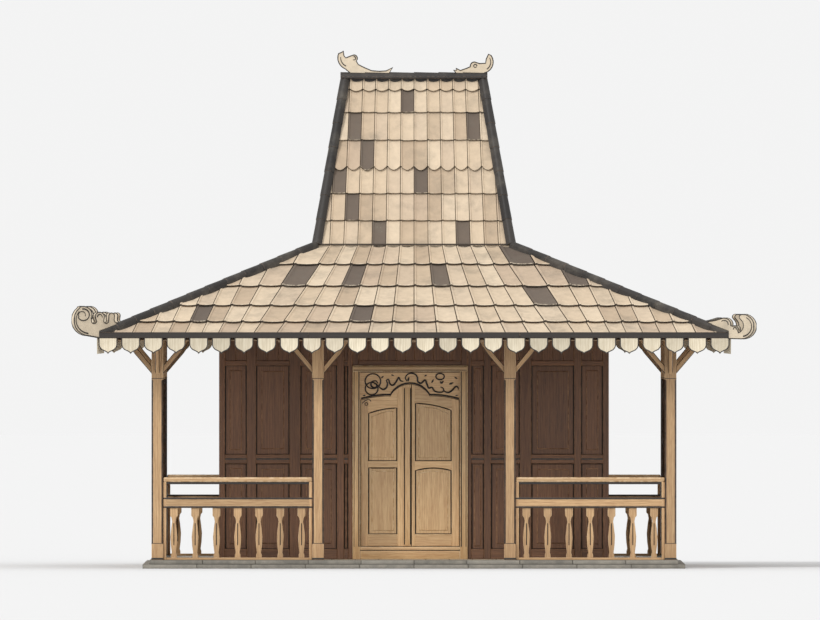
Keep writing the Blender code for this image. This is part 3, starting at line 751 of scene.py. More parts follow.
def wall_bay(bm, left, right, middle_y, foot):
    """What fills the wall between two stiles: rails, two panels, and boards over them."""
    half = WALL / 2
    rails = [(2.60, 2.66)]
    if foot < 1:
        rails += [(foot, 0.24), (1.34, 1.388), (1.407, 1.455)]
        block(bm, (left, middle_y - 0.018, 1.386), (right, middle_y + 0.018, 1.409), 0.001, grain=ACROSS, look=1)
    else:
        rails = [(foot, 2.66)]
    for low, high in rails:
        block(bm, (left, middle_y - half, low), (right, middle_y + half, high), 0.005, grain=ACROSS)
    boards(bm, left, right, 2.66, BREAK_Z, middle_y, 0.03)
    block(bm, (left, middle_y - 0.004, 2.66), (right, middle_y + 0.004, BREAK_Z), 0)
    if foot > 1:
        return
    for low, high in ((0.24, 1.34), (1.455, 2.60)):
        outline = [(left, low), (right, low), (right, high), (left, high)]
        margin = min(0.07, 0.22 * (right - left))
        fielded(bm, outline, middle_y, 0.016, margin, 0.011)
        for side in (-1, 1):
            y = middle_y + side * 0.016
            inset = 0.006
            corners = [
                Vector((left + inset, y, low + inset)), Vector((right - inset, y, low + inset)),
                Vector((right - inset, y, high - inset)), Vector((left + inset, y, high - inset)),
            ]
            bead(bm, corners, 0.009, look=1)


def wall(name, finishes, stiles, middle_y, angle=0.0, foot=FLOOR + GAP):
    """A panelled wall made facing -Y, between its stiles, and turned about the middle."""
    bm = bmesh.new()
    half = WALL / 2
    for a, b in stiles:
        block(bm, (a, middle_y - half, foot), (b, middle_y + half, BREAK_Z), 0.006)
    for (_, a), (b, _) in zip(stiles, stiles[1:]):
        wall_bay(bm, a, b, middle_y, foot)
    turn_all(bm, angle)
    for point, normal in under_planes():
        trim(bm, point, normal)
    return piece(name + "_panelling", bm, finishes, (name,))


def even_stiles(left, right, count, wide):
    """Stiles at equal steps, the end ones flush with the wall's ends."""
    stiles = []
    for k in range(count + 1):
        middle = left + wide / 2 + (right - left - wide) * k / count
        stiles.append((middle - wide / 2, middle + wide / 2))
    return stiles


def walls(wood, dark):
    # The walls' teak is darkened as painted shade, so they read dark behind the verandah
    finishes = (wood, dark)
    side_out = WALL_X + WALL / 2
    left_end, right_end = DOOR_X - DOOR_HALF - JAMB - GAP, DOOR_X + DOOR_HALF + JAMB + GAP
    left = [(-side_out, -2.43), (-2.15, -2.03), (-1.60, -1.46), (-0.99, -0.90), (-0.845, left_end)]
    wall("front_wall_left", finishes, left, FRONT_WALL_Y)
    right = [(right_end, 0.738), (0.90, 0.99), (1.36, 1.51), (2.06, 2.15), (2.43, side_out)]
    wall("front_wall_right", finishes, right, FRONT_WALL_Y)
    over = [(left_end + GAP, left_end + 0.08), (right_end - 0.08, right_end - GAP)]
    wall("front_wall_over_door", finishes, over, FRONT_WALL_Y, foot=HEAD_TOP + GAP)
    wall("back_wall", finishes, even_stiles(-side_out, side_out, 7, 0.10), -BACK_WALL_Y, pi)
    front_end, back_end = FRONT_WALL_Y + WALL / 2 + GAP, BACK_WALL_Y - WALL / 2 - GAP
    # Turned to face left, a wall's left end lies to the back
    wall("left_wall", finishes, even_stiles(-back_end, -front_end, 6, 0.10), -WALL_X, -pi / 2)
    wall("right_wall", finishes, even_stiles(front_end, back_end, 6, 0.10), -WALL_X, pi / 2)


# Doorway


def arch(x):
    """Height of the leaves' top edge: shoulders that fall outwards and an arch between them."""
    away = abs(x)
    if away >= ARCH_HALF:
        return SHOULDER + (LEAF_SIDE - SHOULDER) * ((away - ARCH_HALF) / (DOOR_HALF - ARCH_HALF)) ** 2
    rise = ARCH_TOP - ARCH_FOOT
    radius = (ARCH_HALF**2 + rise**2) / (2 * rise)
    return ARCH_TOP - radius + sqrt(radius**2 - away**2)


def arch_line(low, high, lift, steps=24):
    """Points along the arched top from x low to x high, with the steps at its shoulders."""
    xs = [low + (high - low) * k / steps for k in range(steps + 1)]
    for step in (-ARCH_HALF, ARCH_HALF):
        if low < step < high:
            xs += [step - 0.002, step + 0.002]
    return [(x, arch(x) + lift) for x in sorted(xs)]


def door_frame(wood, dark, iron):
    bm = bmesh.new()
    front, back = FRONT_WALL_Y - FRAME_DEPTH / 2, FRONT_WALL_Y + FRAME_DEPTH / 2
    outer, foot = DOOR_HALF + JAMB, FLOOR + GAP
    for side in (-1, 1):
        low, high = sorted((side * DOOR_HALF, side * outer))
        block(bm, (low, front, foot), (high, back, HEAD_BOTTOM), 0.006, segments=2)
        groove = side * (DOOR_HALF + 0.018)
        for offset, radius in ((0.0, 0.008), (0.062, 0.005)):
            x = groove + side * offset
            line = [Vector((x, front + 0.001, SILL_TOP)), Vector((x, front + 0.001, HEAD_BOTTOM))]
            bead(bm, line, radius, look=1, closed=False)
        for z in HINGE_HEIGHTS:
            low, high = sorted((side * 0.645, side * 0.682))
            block(
                bm, (low, back - 0.0005, z - HINGE_LONG / 2), (high, back + 0.003, z + HINGE_LONG / 2),
                0.001, look=2,
            )
    block(bm, (-outer, front, HEAD_BOTTOM), (outer, back, HEAD_TOP), 0.006, grain=ACROSS, segments=2)
    block(bm, (-DOOR_HALF, front, foot), (DOOR_HALF, back, SILL_TOP), 0.008, grain=ACROSS, segments=2)
    for z, radius in ((HEAD_BOTTOM + 0.018, 0.006), (HEAD_TOP - 0.016, 0.005)):
        line = [Vector((-outer + 0.01, front + 0.001, z)), Vector((outer - 0.01, front + 0.001, z))]
        bead(bm, line, radius, look=1, closed=False)
    line = [Vector((-DOOR_HALF, front + 0.001, 0.225)), Vector((DOOR_HALF, front + 0.001, 0.225))]
    bead(bm, line, 0.007, look=1, closed=False)
    turn_all(bm, 0.0, (DOOR_X, 0, 0))
    piece("door_frame_timber", bm, (wood, dark, iron), ("door_frame",))


def transom(wood, dark):
    """The carved board over the leaves: a leafy scroll inside a beaded border."""
    bm = bmesh.new()
    side, top = DOOR_HALF - GAP, HEAD_BOTTOM - GAP
    outline = arch_line(-side, side, 0.008) + [(side, top), (-side, top)]
    part = start()
    sheet(part, [Vector((x, LEAF_OUT + 0.012, z)) for x, z in outline], LEAF_IN - LEAF_OUT - 0.012)
    stamp(bm, part, grain=ACROSS)
    lower = [Vector((x, LEAF_OUT + 0.010, z)) for x, z in arch_line(-side + 0.01, side - 0.01, 0.022)]
    bead(bm, lower, 0.012, look=1, closed=False, sides=6)
    line = [Vector((-side, LEAF_OUT + 0.01, top - 0.006)), Vector((side, LEAF_OUT + 0.01, top - 0.006))]
    bead(bm, line, 0.008, look=1, closed=False, sides=6)
    y = LEAF_OUT + 0.006
    waves = [
        [(-0.415, 2.372), (-0.440, 2.402), (-0.492, 2.388), (-0.500, 2.340), (-0.462, 2.314),
         (-0.428, 2.332), (-0.432, 2.360), (-0.460, 2.362)],
        [(-0.418, 2.348), (-0.380, 2.308), (-0.342, 2.292), (-0.303, 2.318), (-0.292, 2.370),
         (-0.310, 2.412)],
        [(-0.306, 2.414), (-0.276, 2.420), (-0.262, 2.370), (-0.222, 2.346), (-0.182, 2.385),
         (-0.146, 2.446), (-0.124, 2.405), (-0.086, 2.396)],
        [(-0.040, 2.398), (-0.062, 2.440), (-0.034, 2.484), (0.014, 2.500), (0.066, 2.486),
         (0.094, 2.446), (0.098, 2.396), (0.140, 2.372), (0.192, 2.412), (0.216, 2.360),
         (0.240, 2.310), (0.282, 2.318), (0.310, 2.275), (0.362, 2.256), (0.420, 2.262),
         (0.430, 2.300), (0.392, 2.326)],
        [(0.424, 2.292), (0.452, 2.262), (0.496, 2.254), (0.540, 2.280), (0.585, 2.328),
         (0.612, 2.322), (0.620, 2.290)],
        [(-0.014, 2.448), (-0.022, 2.420), (-0.026, 2.396)],
        [(0.386, 2.396), (0.402, 2.374), (0.432, 2.402)],
    ]
    for wave in waves:
        points = flowing([Vector((x, y, max(z, arch(x) + 0.040))) for x, z in wave])
        last = len(points) - 1
        radii = [0.007 + 0.006 * sin(pi * k / last) for k in range(last + 1)]
        tendril(bm, points, radii, sides=6, tone=0.9, look=1)
    for centre, wide, tall in (
        ((-0.478, 2.398), 0.100, 0.096), ((-0.494, 2.302), 0.082, 0.080), ((0.386, 2.458), 0.054, 0.040),
    ):
        ring = [
            Vector((centre[0] + wide * cos(t * pi / 12), y, centre[1] + tall * sin(t * pi / 12)))
            for t in range(24)
        ]
        tendril(bm, ring, [0.010] * len(ring), closed=True, look=1)
    for centre, size, turn in (
        ((-0.355, 2.452), 0.05, 40), ((-0.225, 2.475), 0.045, -20), ((0.200, 2.470), 0.045, 25),
        ((0.290, 2.400), 0.06, 60), ((0.530, 2.370), 0.07, 20), ((0.590, 2.440), 0.05, -30),
        ((-0.590, 2.215), 0.045, 10), ((0.600, 2.215), 0.04, 10),
    ):
        leaf(bm, centre, size, turn, y)
    turn_all(bm, 0.0, (DOOR_X, 0, 0))
    piece("transom_carving", bm, (wood, dark), ("door_transom",))


def leaf(bm, centre, size, turn, y):
    """A small carved leaf with its middle raised."""
    part = start()
    outline = [
        (-1.0, 0.0), (-0.55, 0.30), (0.0, 0.40), (0.6, 0.22), (1.0, 0.0), (0.6, -0.22), (0.0, -0.40), (-0.55, -0.30),
    ]
    c, s = cos(radians(turn)), sin(radians(turn))
    points = []
    for a, b in outline:
        a, b = a * size / 2, b * size / 2
        points.append(Vector((centre[0] + a * c - b * s, y + 0.004, centre[1] + a * s + b * c)))
    sheet(part, points, 0.012)
    front = facing(part, (0, -1, 0))
    bmesh.ops.inset_individual(part, faces=front, thickness=size * 0.11, depth=0.006)
    stamp(bm, part, tone=0.7, look=1)


def door_leaf(side, wood, dark, iron):
    """One leaf: stiles, rails, an arched panel over a plain one, and forged hinges."""
    bm = bmesh.new()
    inner_x = MEETING_LEFT if side < 0 else MEETING_RIGHT
    low, high = sorted((side * LEAF_EDGE, inner_x))
    middle_y, thick = (LEAF_OUT + LEAF_IN) / 2, LEAF_IN - LEAF_OUT
    a, b = PANEL_LEFT if side < 0 else PANEL_RIGHT
    meeting = (b, high) if side < 0 else (low, a)
    outer = (low, a) if side < 0 else (b, high)
    for x0, x1 in (meeting, outer):
        outline = [(x0, LEAF_FOOT), (x1, LEAF_FOOT)] + list(reversed(arch_line(x0, x1, 0, 6)))
        part = start()
        sheet(part, [Vector((x, LEAF_OUT, z)) for x, z in outline], thick)
        soften(part, [e for e in part.edges if e.calc_length() > 0.3], 0.004)
        stamp(bm, part)
    block(bm, (a, LEAF_OUT, LEAF_FOOT), (b, LEAF_IN, PANEL_FOOT), 0.004, grain=ACROSS)
    waist, crown = panel_waist(a, b, side), panel_top(a, b, side)
    for outline in (waist + [(b, RAIL_TOP), (a, RAIL_TOP)], crown + list(reversed(arch_line(a, b, 0, 16)))):
        part = start()
        sheet(part, [Vector((x, LEAF_OUT, z)) for x, z in outline], thick)
        stamp(bm, part, grain=ACROSS)
    panels = (
        [(a, PANEL_FOOT), (b, PANEL_FOOT)] + list(reversed(waist)),
        [(a, RAIL_TOP), (b, RAIL_TOP)] + list(reversed(crown)),
    )
    for outline in panels:
        fielded(bm, outline, middle_y, 0.014, 0.045, 0.010)
        for face in (-1, 1):
            y = middle_y + face * 0.0115
            line = [Vector((x, y, z)) for x, z in shrunk(outline, 0.007)]
            bead(bm, line, 0.0085, look=1)
    if side < 0:
        corner = [Vector((x, LEAF_OUT - 0.001, z)) for x, z in ((-0.618, 2.112), (-0.575, 2.148), (-0.530, 2.164), (-0.503, 2.138))]
        tendril(bm, flowing(corner), [0.006] * (5 * 3 + 1), sides=5, look=1)
        ring = [
            Vector((-0.561 + 0.019 * cos(t * pi / 6), LEAF_OUT - 0.001, 2.105 + 0.019 * sin(t * pi / 6))) for t in range(12)
        ]
        tendril(bm, ring, [0.005] * 12, sides=5, closed=True, look=1)
        strip = (high - 0.09, high - 0.001)
        block(bm, (strip[0], LEAF_OUT - 0.010, LEAF_FOOT + 0.005), (strip[1], LEAF_OUT + 0.002, ARCH_TOP - 0.03), 0.006, segments=2)
        for x in (strip[0] + 0.006, strip[1] - 0.006):
            line = [Vector((x, LEAF_OUT - 0.0085, LEAF_FOOT + 0.02)), Vector((x, LEAF_OUT - 0.0085, ARCH_TOP - 0.045))]
            bead(bm, line, 0.0075, look=1, closed=False)
    hinges(bm, side)
    name = "door_leaf_left" if side < 0 else "door_leaf_right"
    turn_all(bm, 0.0, (DOOR_X, 0, 0))
    piece(name + "_panels", bm, (wood, dark, iron), (name,), body=name)


def hinges(bm, side):
    """Forged knuckles on the pivot line, with a flap on the leaf."""
    for z in HINGE_HEIGHTS:
        for low, high in ((-0.044, -0.016), (-0.014, 0.014), (0.016, 0.044)):
            part = start()
            place = Matrix.Translation((side * HINGE_X, HINGE_Y, z + (low + high) / 2))
            bmesh.ops.create_cone(
                part, cap_ends=True, segments=12, radius1=0.007, radius2=0.007, depth=high - low,
                matrix=place,
            )
            soften(part, [e for e in part.edges if abs(e.verts[0].co.z - e.verts[1].co.z) < 1e-6], 0.001)
            stamp(bm, part, look=2)
        low, high = sorted((side * HINGE_X, side * (HINGE_X - 0.035)))
        block(bm, (low, LEAF_IN - 0.001, z - 0.043), (high, LEAF_IN + 0.004, z + 0.043), 0.001, look=2)
        for dz in (-0.028, 0.0, 0.028):
            part = start()
            x = side * (HINGE_X - 0.022)
            place = Matrix.Translation((x, LEAF_IN + 0.004, z + dz)) @ Matrix.Diagonal((1, 0.4, 1, 1))
            bmesh.ops.create_icosphere(part, subdivisions=1, radius=0.0045, matrix=place)
            stamp(bm, part, look=2)


def panel_waist(a, b, side):
    """The top of a lower panel, from left to right: straight on the left leaf, bowed on the right."""
    steps, bow = 8, 0.0 if side < 0 else 0.035
    return [(a + (b - a) * k / steps, 1.29 - bow * (2 * k / steps - 1) ** 2) for k in range(steps + 1)]


def panel_top(a, b, side):
    """The bowed top of an upper panel, from left to right, highest at the meeting stile."""
    steps = 10
    crown, drop = (2.06, 0.07) if side < 0 else (2.12, 0.09)
    points = []
    for k in range(steps + 1):
        x = a + (b - a) * k / steps
        away = (b - x if side < 0 else x - a) / (b - a)
        points.append((x, crown - drop * away**2))
    return points


# Balustrades


def baluster_outline(x, low, high):
    """A sawn baluster: broad head, narrow neck, a swelling below and a spread foot."""
    shape = (
        (0.0, 0.036), (0.06, 0.036), (0.10, 0.026), (0.24, 0.038), (0.42, 0.044), (0.60, 0.032),
        (0.72, 0.021), (0.80, 0.030), (0.84, 0.050), (1.0, 0.050),
    )
    points = [(x + half, low + (high - low) * t) for t, half in shape]
    return points + [(x - half, low + (high - low) * t) for t, half in reversed(shape)]


def railing(name, span, place, angle, wood, dark):
    bm = bmesh.new()
    half, deep, foot = span / 2, RAIL_WIDTH / 2, FLOOR + GAP
    low, high = TOP_RAIL
    block(bm, (-half, -deep, low + 0.028), (half, deep, high), 0.018, grain=ACROSS, segments=3)
    block(bm, (-half, -deep + 0.008, low), (half, deep - 0.008, low + 0.03), 0.005, grain=ACROSS, look=1)
    low, high = LOW_RAIL
    block(bm, (-half, -deep + 0.006, low + 0.02), (half, deep - 0.006, high - 0.02), 0.006, grain=ACROSS)
    for z in (low, high - 0.022):
        block(bm, (-half, -deep, z), (half, deep, z + 0.022), 0.006, grain=ACROSS, look=1, segments=2)
    for side in (-1, 1):
        near, far = sorted((side * half, side * (half - 0.04)))
        block(bm, (near, -deep + 0.004, foot), (far, deep - 0.004, TOP_RAIL[0] + 0.03), 0.005)
    block(bm, (-half, -0.024, foot), (half, 0.024, foot + 0.03), 0.004, grain=ACROSS)
    count = round(span / BALUSTER_PITCH)
    for k in range(count):
        x = span * ((k + 0.5) / count - 0.5)
        part = start()
        outline = baluster_outline(x, foot + 0.028, LOW_RAIL[0] + 0.004)
        sheet(part, [Vector((a, -0.017, z)) for a, z in outline], 0.034)
        soften(part, [e for f in facing(part, (0, -1, 0)) + facing(part, (0, 1, 0)) for e in f.edges], 0.004)
        stamp(bm, part)
        for face in (-1, 1):
            line = [Vector((x, face * 0.0175, 0.30)), Vector((x, face * 0.0175, 0.58))]
            bead(bm, line, 0.006, look=1, closed=False)
    turn_all(bm, angle, place)
    piece(name + "_joinery", bm, (wood, dark), (name,))


def railings(wood, dark):
    clear = POST + 2 * GAP
    for number, label in enumerate(("left", "middle", "right")):
        begin, end = POST_X[number], POST_X[number + 1]
        middle, span = (begin + end) / 2, end - begin - clear
        if label != "middle":
            railing("railing_front_" + label, span, (middle, POST_Y[0], 0), 0.0, wood, dark)
        railing("railing_back_" + label, span, (middle, POST_Y[3], 0), 0.0, wood, dark)
    for number, label in enumerate(("front", "middle", "back")):
        begin, end = POST_Y[number], POST_Y[number + 1]
        middle, span = (begin + end) / 2, end - begin - clear
        railing("railing_left_" + label, span, (POST_X[0], middle, 0), pi / 2, wood, dark)
        railing("railing_right_" + label, span, (POST_X[3], middle, 0), pi / 2, wood, dark)


# Eave boards


def pendant(bm, x, y, wide, lift):
    """A hanging tongue with a rounded, pointed end and a dark border."""
    half = wide / 2
    outline = [
        (-half, 2.965), (-half, 2.865 + lift), (-half * 0.90, 2.832 + lift), (-half * 0.68, 2.804 + lift),
        (-half * 0.36, 2.786 + lift), (-half * 0.14, 2.772 + lift / 2), (0, 2.751),
    ]
    outline += [(-a, z) for a, z in reversed(outline[:-1])]
    part = start()
    sheet(part, [Vector((x + a, y + 0.003, z)) for a, z in outline], 0.014)
    front = facing(part, (0, -1, 0))
    rims = bmesh.ops.inset_individual(part, faces=front, thickness=0.013, depth=0.0, use_even_offset=True)
    for face in rims["faces"]:
        face.material_index = 1
    bmesh.ops.inset_individual(part, faces=front, thickness=0.004, depth=-0.003)
    stamp(bm, part)


def valance(name, wood, dark):
    """Eave board with a bead along its foot, and its row of pendants."""
    bm = bmesh.new()
    across = name in ("front", "back")
    half = EAVE_X if across else EAVE_Y - 0.0203
    reach = EAVE_Y if across else EAVE_X
    lengths = 3
    for k in range(lengths):
        a, b = -half + 2 * half * k / lengths, -half + 2 * half * (k + 1) / lengths
        block(bm, (a, -reach, 2.955), (b - 0.001, -reach + 0.02, 3.03), 0.004, look=1, grain=ACROSS)
    for z in (2.966, 3.016):
        line = [Vector((-half + 0.004, -reach + 0.004, z)), Vector((half - 0.004, -reach + 0.004, z))]
        bead(bm, line, 0.0055, look=1, closed=False)
    count = round(2 * half / 0.29)
    pitch = 2 * half / count
    for k in range(count):
        lift = DICE.choice((0.0, 0.0, 0.006, -0.006))
        pendant(bm, -half + pitch * (k + 0.5), -reach, 0.24, lift)
    turn_all(bm, TURNS[name])
    piece("eave_board_" + name, bm, (wood, dark), ("valance_" + name,))


# Tiles

TILE_WIDE, TILE_LONG, TILE_LAP, TILE_TILT, TILE_THICK = 0.25, 0.33, 0.12, 0.036, 0.034
TOP_TILT = 0.008
LOWER_COURSES = (3.0, 3.19, 3.40, 3.65, 3.93, 4.16)
UPPER_COURSES = (4.14, 4.48, 4.83, 5.16, 5.52, 5.88, 6.17, 6.34)
WAVY = (5.16, 6.17)
LOWER_LINES = (
    (0.0, 0.0), (0.296, 0.0986), (0.592, 0.197), (0.888, 0.296), (1.184, 0.394), (1.48, 0.493),
    (1.776, 0.592), (2.072, 0.56), (2.30, 0.47), (2.52, 0.42), (2.73, 0.38), (2.94, 0.38),
    (3.16, 0.38), (3.38, 0.38), (3.62, 0.38), (3.86, 0.38), (4.10, 0.38),
)
DARK_LOWER = ((-1.44, 3.81), (-0.77, 3.76), (-0.67, 3.29), (-2.76, 3.30), (0.38, 3.77), (1.21, 4.0), (1.64, 3.49), (1.99, 3.73))
DARK_UPPER = ((-0.81, 5.67), (-0.67, 5.32), (-0.94, 4.98), (-0.79, 4.65), (-0.47, 4.35), (-0.01, 6.04), (0.17, 4.98), (0.84, 5.70), (0.72, 4.32))


def lower_line(number, z):
    """Where the skirt roof's column line lies at height z: the lines fan out to the eave."""
    eave, slant = LOWER_LINES[abs(number)]
    x = eave - slant * (z - EAVE_Z) / (BREAK_Z - EAVE_Z) * 1.16
    return x if number >= 0 else -x


def upper_line(number, z):
    return number * (0.1814 - 0.0075 * (z - BREAK_Z))


def on_slope(slope, x, z, height):
    share = (z - slope.low_z) / (slope.top_z - slope.low_z)
    reach = slope.low_reach + (slope.top_reach - slope.low_reach) * share
    return Vector((x, -reach, z)) + slope_normal(slope) * height


def hip_planes(slope, other):
    """Planes that mitre a slope against its neighbours, which are alike, on the right and left."""
    own = slope_normal(slope)
    turned = Matrix.Rotation(pi / 2, 3, "Z") @ slope_normal(other)
    across = (turned - own).normalized()
    point = Vector((slope.low_span, -slope.low_reach, slope.low_z)) - across * 0.003
    mirror = Vector((-1, 1, 1))
    return [(point, across), (point * mirror, across * mirror)]


def tile_shape(wavy):
    """One tile in its own cell: a rolled rib on the left, a shallow pan, and a rounded butt."""
    part = bmesh.new()
    section = (
        (0.006, -TILE_THICK), (0.006, -0.005), (0.012, 0.0), (0.030, 0.0), (0.040, -0.011),
        (0.085, -0.016), (0.130, -0.018), (0.180, -0.016), (0.225, -0.011), (0.245, -0.008),
        (0.245, -TILE_THICK), (0.180, -TILE_THICK), (0.130, -TILE_THICK), (0.085, -TILE_THICK),
    )
    face = part.faces.new([part.verts.new((u, 0, h)) for u, h in section])
    for step in (0.5, 0.5 + TILE_LAP):
        pushed = bmesh.ops.extrude_face_region(part, geom=[face])["geom"]
        moved = [v for v in pushed if isinstance(v, bmesh.types.BMVert)]
        bmesh.ops.translate(part, verts=moved, vec=(0, step * TILE_LONG, 0))
        face = [f for f in pushed if isinstance(f, bmesh.types.BMFace)][0]
    inside = [f for f in part.faces if 0.1 < f.calc_center_median().y < 0.2 and abs(f.normal.y) > 0.9]
    bmesh.ops.delete(part, geom=inside, context="FACES_ONLY")
    part.faces.layers.float.new("edge")
    butt = [e for e in part.edges if all(v.co.y < 1e-6 and v.co.z > -0.03 for v in e.verts)]
    bmesh.ops.recalc_face_normals(part, faces=part.faces[:])
    soften(part, butt, 0.006)
    part.normal_update()
    # The sides and butts take the second finish, clay darkened as painted shade, so the joints read dark
    for face in part.faces:
        if abs(face.normal.x) > 0.9 or face.normal.y < -0.9:
            face.material_index = 1
    if wavy:
        for vert in part.verts:
            if vert.co.y < 0.02:
                vert.co.y -= 0.05 * sin(pi * vert.co.x / TILE_WIDE) - 0.02
    mesh = bpy.data.meshes.new("tile")
    part.to_mesh(mesh)
    part.free()
    return mesh


def tile_field(slope, other, courses, line, columns, dark_cells, more_cuts):
    """All tiles of one slope, each fitted to its cell and cut along the hips."""
    bm = bmesh.new()
    cuts = hip_planes(slope, other) + more_cuts
    plain, wavy = tile_shape(False), tile_shape(True)
    for low, high in zip(courses, courses[1:]):
        tilt = TOP_TILT if high == courses[-1] else TILE_TILT
        for number in range(-columns, columns):
            dark = any(
                low <= z < high and line(number, z) <= x < line(number + 1, z) for x, z in dark_cells
            )
            if not dark_cells:
                dark = DICE.random() < 0.07
            tone = 0.12 * DICE.random() if dark else DICE.uniform(0.24, 1.0)
            drop, slip = DICE.uniform(0, 0.002), DICE.uniform(-0.004, 0.004)
            part = start()
            part.from_mesh(wavy if low in WAVY else plain)
            for vert in part.verts:
                u, v = vert.co.x / TILE_WIDE, vert.co.y / TILE_LONG
                z = min(low + (high - low) * v + slip * (1 - min(v, 1)), slope.top_z - 0.004)
                left, right = line(number, z), line(number + 1, z)
                height = vert.co.z - tilt * v - drop
                vert.co = on_slope(slope, left + (right - left) * u, z, height)
            outside = [[(v.co - point).dot(normal) for v in part.verts] for point, normal in cuts]
            if any(min(row) > -0.012 for row in outside):
                part.free()
                continue
            for (point, normal), row in zip(cuts, outside):
                if max(row) > 0:
                    trim(part, point, normal)
            stamp(bm, part, tone=tone)
    return bm


def roof_under(bm, slope, other, more_cuts):
    """Boards under the tiles, and rafters under the boards."""
    cuts = hip_planes(slope, other) + more_cuts
    long = hypot(slope.top_z - slope.low_z, slope.low_reach - slope.top_reach)
    normal = slope_normal(slope)
    up = Vector((0, slope.low_reach - slope.top_reach, slope.top_z - slope.low_z)).normalized()
    frame_in = Matrix((Vector((1, 0, 0)), up, normal)).transposed().to_4x4()
    place = Matrix.Translation((0, -slope.low_reach, slope.low_z)) @ frame_in
    span = max(slope.low_span, slope.top_span)
    low = -0.14 if slope.low_z > EAVE_Z else 0.0
    rows = round((long - low) / 0.24)
    strips = []
    for k in range(rows):
        a, b = low + (long - low) * k / rows, low + (long - low) * (k + 1) / rows
        strips.append(((-span, a + 0.001, -0.089), (span, b - 0.001, -0.077), ACROSS, 0.001))
    count = round(2 * span / 0.42)
    for k in range(count):
        x = -span + 2 * span * (k + 0.5) / count
        strips.append(((x - 0.028, low, -ROOF_THICK + 0.0005), (x + 0.028, long, -0.089), up, 0.004))
    for low, high, grain, edge in strips:
        box = start()
        size = Vector(high) - Vector(low)
        middle = (Vector(high) + Vector(low)) / 2
        shape = Matrix.Translation(middle) @ Matrix.Diagonal((*size, 1))
        bmesh.ops.create_cube(box, size=1, matrix=shape)
        soften(box, box.edges[:], edge)
        bmesh.ops.transform(box, matrix=place, verts=box.verts[:])
        outside = [[(v.co - point).dot(way) for v in box.verts] for point, way in cuts]
        if any(min(row) > -0.002 for row in outside):
            box.free()
            continue
        for (point, way), row in zip(cuts, outside):
            if max(row) > 0:
                trim(box, point, way)
        stamp(bm, box, look=1, grain=grain)


def roofs(tile, soot_and_painted_shade, under):
    other_side = {"front": "right", "right": "front", "back": "left", "left": "back"}
    for name, turn in TURNS.items():
        other = other_side[name]
        slope = lower_slope(name)
        steep = upper_slope(name)
        normal = slope_normal(steep)
        eave = slope.low_reach - 0.0205
        head = (Vector((0, -steep.low_reach, steep.low_z)) + normal * 0.001, -normal)
        edge = (Vector((0, -eave, 0)), Vector((0, -1, 0)))
        columns = len(LOWER_LINES) - 1
        dark = DARK_LOWER if name == "front" else ()
        bm = tile_field(
            slope, lower_slope(other), LOWER_COURSES, lower_line, columns, dark, [head, edge],
        )
        # The bead along the roof break takes the same clay, darkened as painted shade
        line = [Vector((side * (BREAK_X if slope.top_span == BREAK_X else BREAK_Y), -steep.low_reach, BREAK_Z)) for side in (-1, 1)]
        bead(bm, line, 0.011, look=1, closed=False, sides=6)
        turn_all(bm, turn)
        piece("skirt_tiles_" + name, bm, (tile, soot_and_painted_shade), ("lower_roof_" + name,))
        bm = bmesh.new()
        roof_under(bm, slope, lower_slope(other), [head, edge])
        turn_all(bm, turn)
        piece("skirt_rafters_" + name, bm, (under, under))

        middle = (Vector((0, -0.001, 0)), Vector((0, 1, 0)))
        foot = (Vector((0, 0, RING_TOP + 0.001)), Vector((0, 0, -1)))
        dark = DARK_UPPER if name == "front" else ()
        bm = tile_field(
            steep, upper_slope(other), UPPER_COURSES, upper_line, 9, dark, [middle, foot],
        )
        turn_all(bm, turn)
        piece("steep_tiles_" + name, bm, (tile, soot_and_painted_shade), ("upper_roof_" + name,))
        bm = bmesh.new()
        roof_under(bm, steep, upper_slope(other), [middle, foot])
        turn_all(bm, turn)
        piece("steep_rafters_" + name, bm, (under, under))


# Caps and scrolls


def cap_run(bm, begin, end, up, wide, rise, legs, first=0.0):
    """Half-round caps laid one over the next up a hip or along a ridge."""
    along = (end - begin).normalized()
    across = along.cross(up).normalized()
    up = across.cross(along).normalized()
    long = (end - begin).length
    count = max(1, round(long / 0.34))
    pitch = long / count
    for k in range(count):
        part = start()
        arc = [(wide * cos(pi * t / 8), rise * sin(pi * t / 8)) for t in range(9)]
        section = arc + [(-wide * 1.06, -legs), (wide * 1.06, -legs)]
        origin = begin + along * pitch * k
        face_points = [Vector((a, b, 0)) for a, b in section]
        sheet(part, face_points, pitch + 0.03 if k < count - 1 else pitch, (0, 0, 1))
        for vert in part.verts:
            share = vert.co.z / pitch
            vert.co.x *= 1 - 0.10 * share
            vert.co.y *= 1 - 0.14 * share if vert.co.y > 0 else 1
        butt = [e for e in part.edges if all(v.co.z < 1e-6 and v.co.y > -0.001 for v in e.verts)]
        soften(part, butt, 0.006)
        spin = Matrix((across, up, along)).transposed().to_4x4()
        bmesh.ops.transform(part, matrix=Matrix.Translation(origin) @ spin, verts=part.verts[:])
        stamp(bm, part)


def arcs_line(arcs):
    """Points round a chain of arcs, each a centre, a radius and its two angles in degrees."""
    points = []
    for centre, radius, begin, end in arcs:
        steps = max(2, round(abs(end - begin) / 15))
        for k in range(steps + 1):
            angle = radians(begin + (end - begin) * k / steps)
            points.append((centre[0] + radius * cos(angle), centre[1] + radius * sin(angle)))
    return points


def left_corner():
    """A rolled scroll and two waves, as distances from the middle and heights."""
    hip = [(3.70, 3.13), (3.70, 3.02), (4.03, 2.96)]
    return hip + arcs_line([
        ((4.165, 3.185), 0.2, -90, 52), ((4.244, 3.253), 0.108, 65, 205),
        ((4.108, 3.175), 0.035, -20, -160), ((4.036, 3.228), 0.058, 0, 180),
        ((3.955, 3.175), 0.032, 0, -180), ((3.885, 3.240), 0.036, 0, 180),
        ((3.815, 3.190), 0.040, 0, -80),
    ])


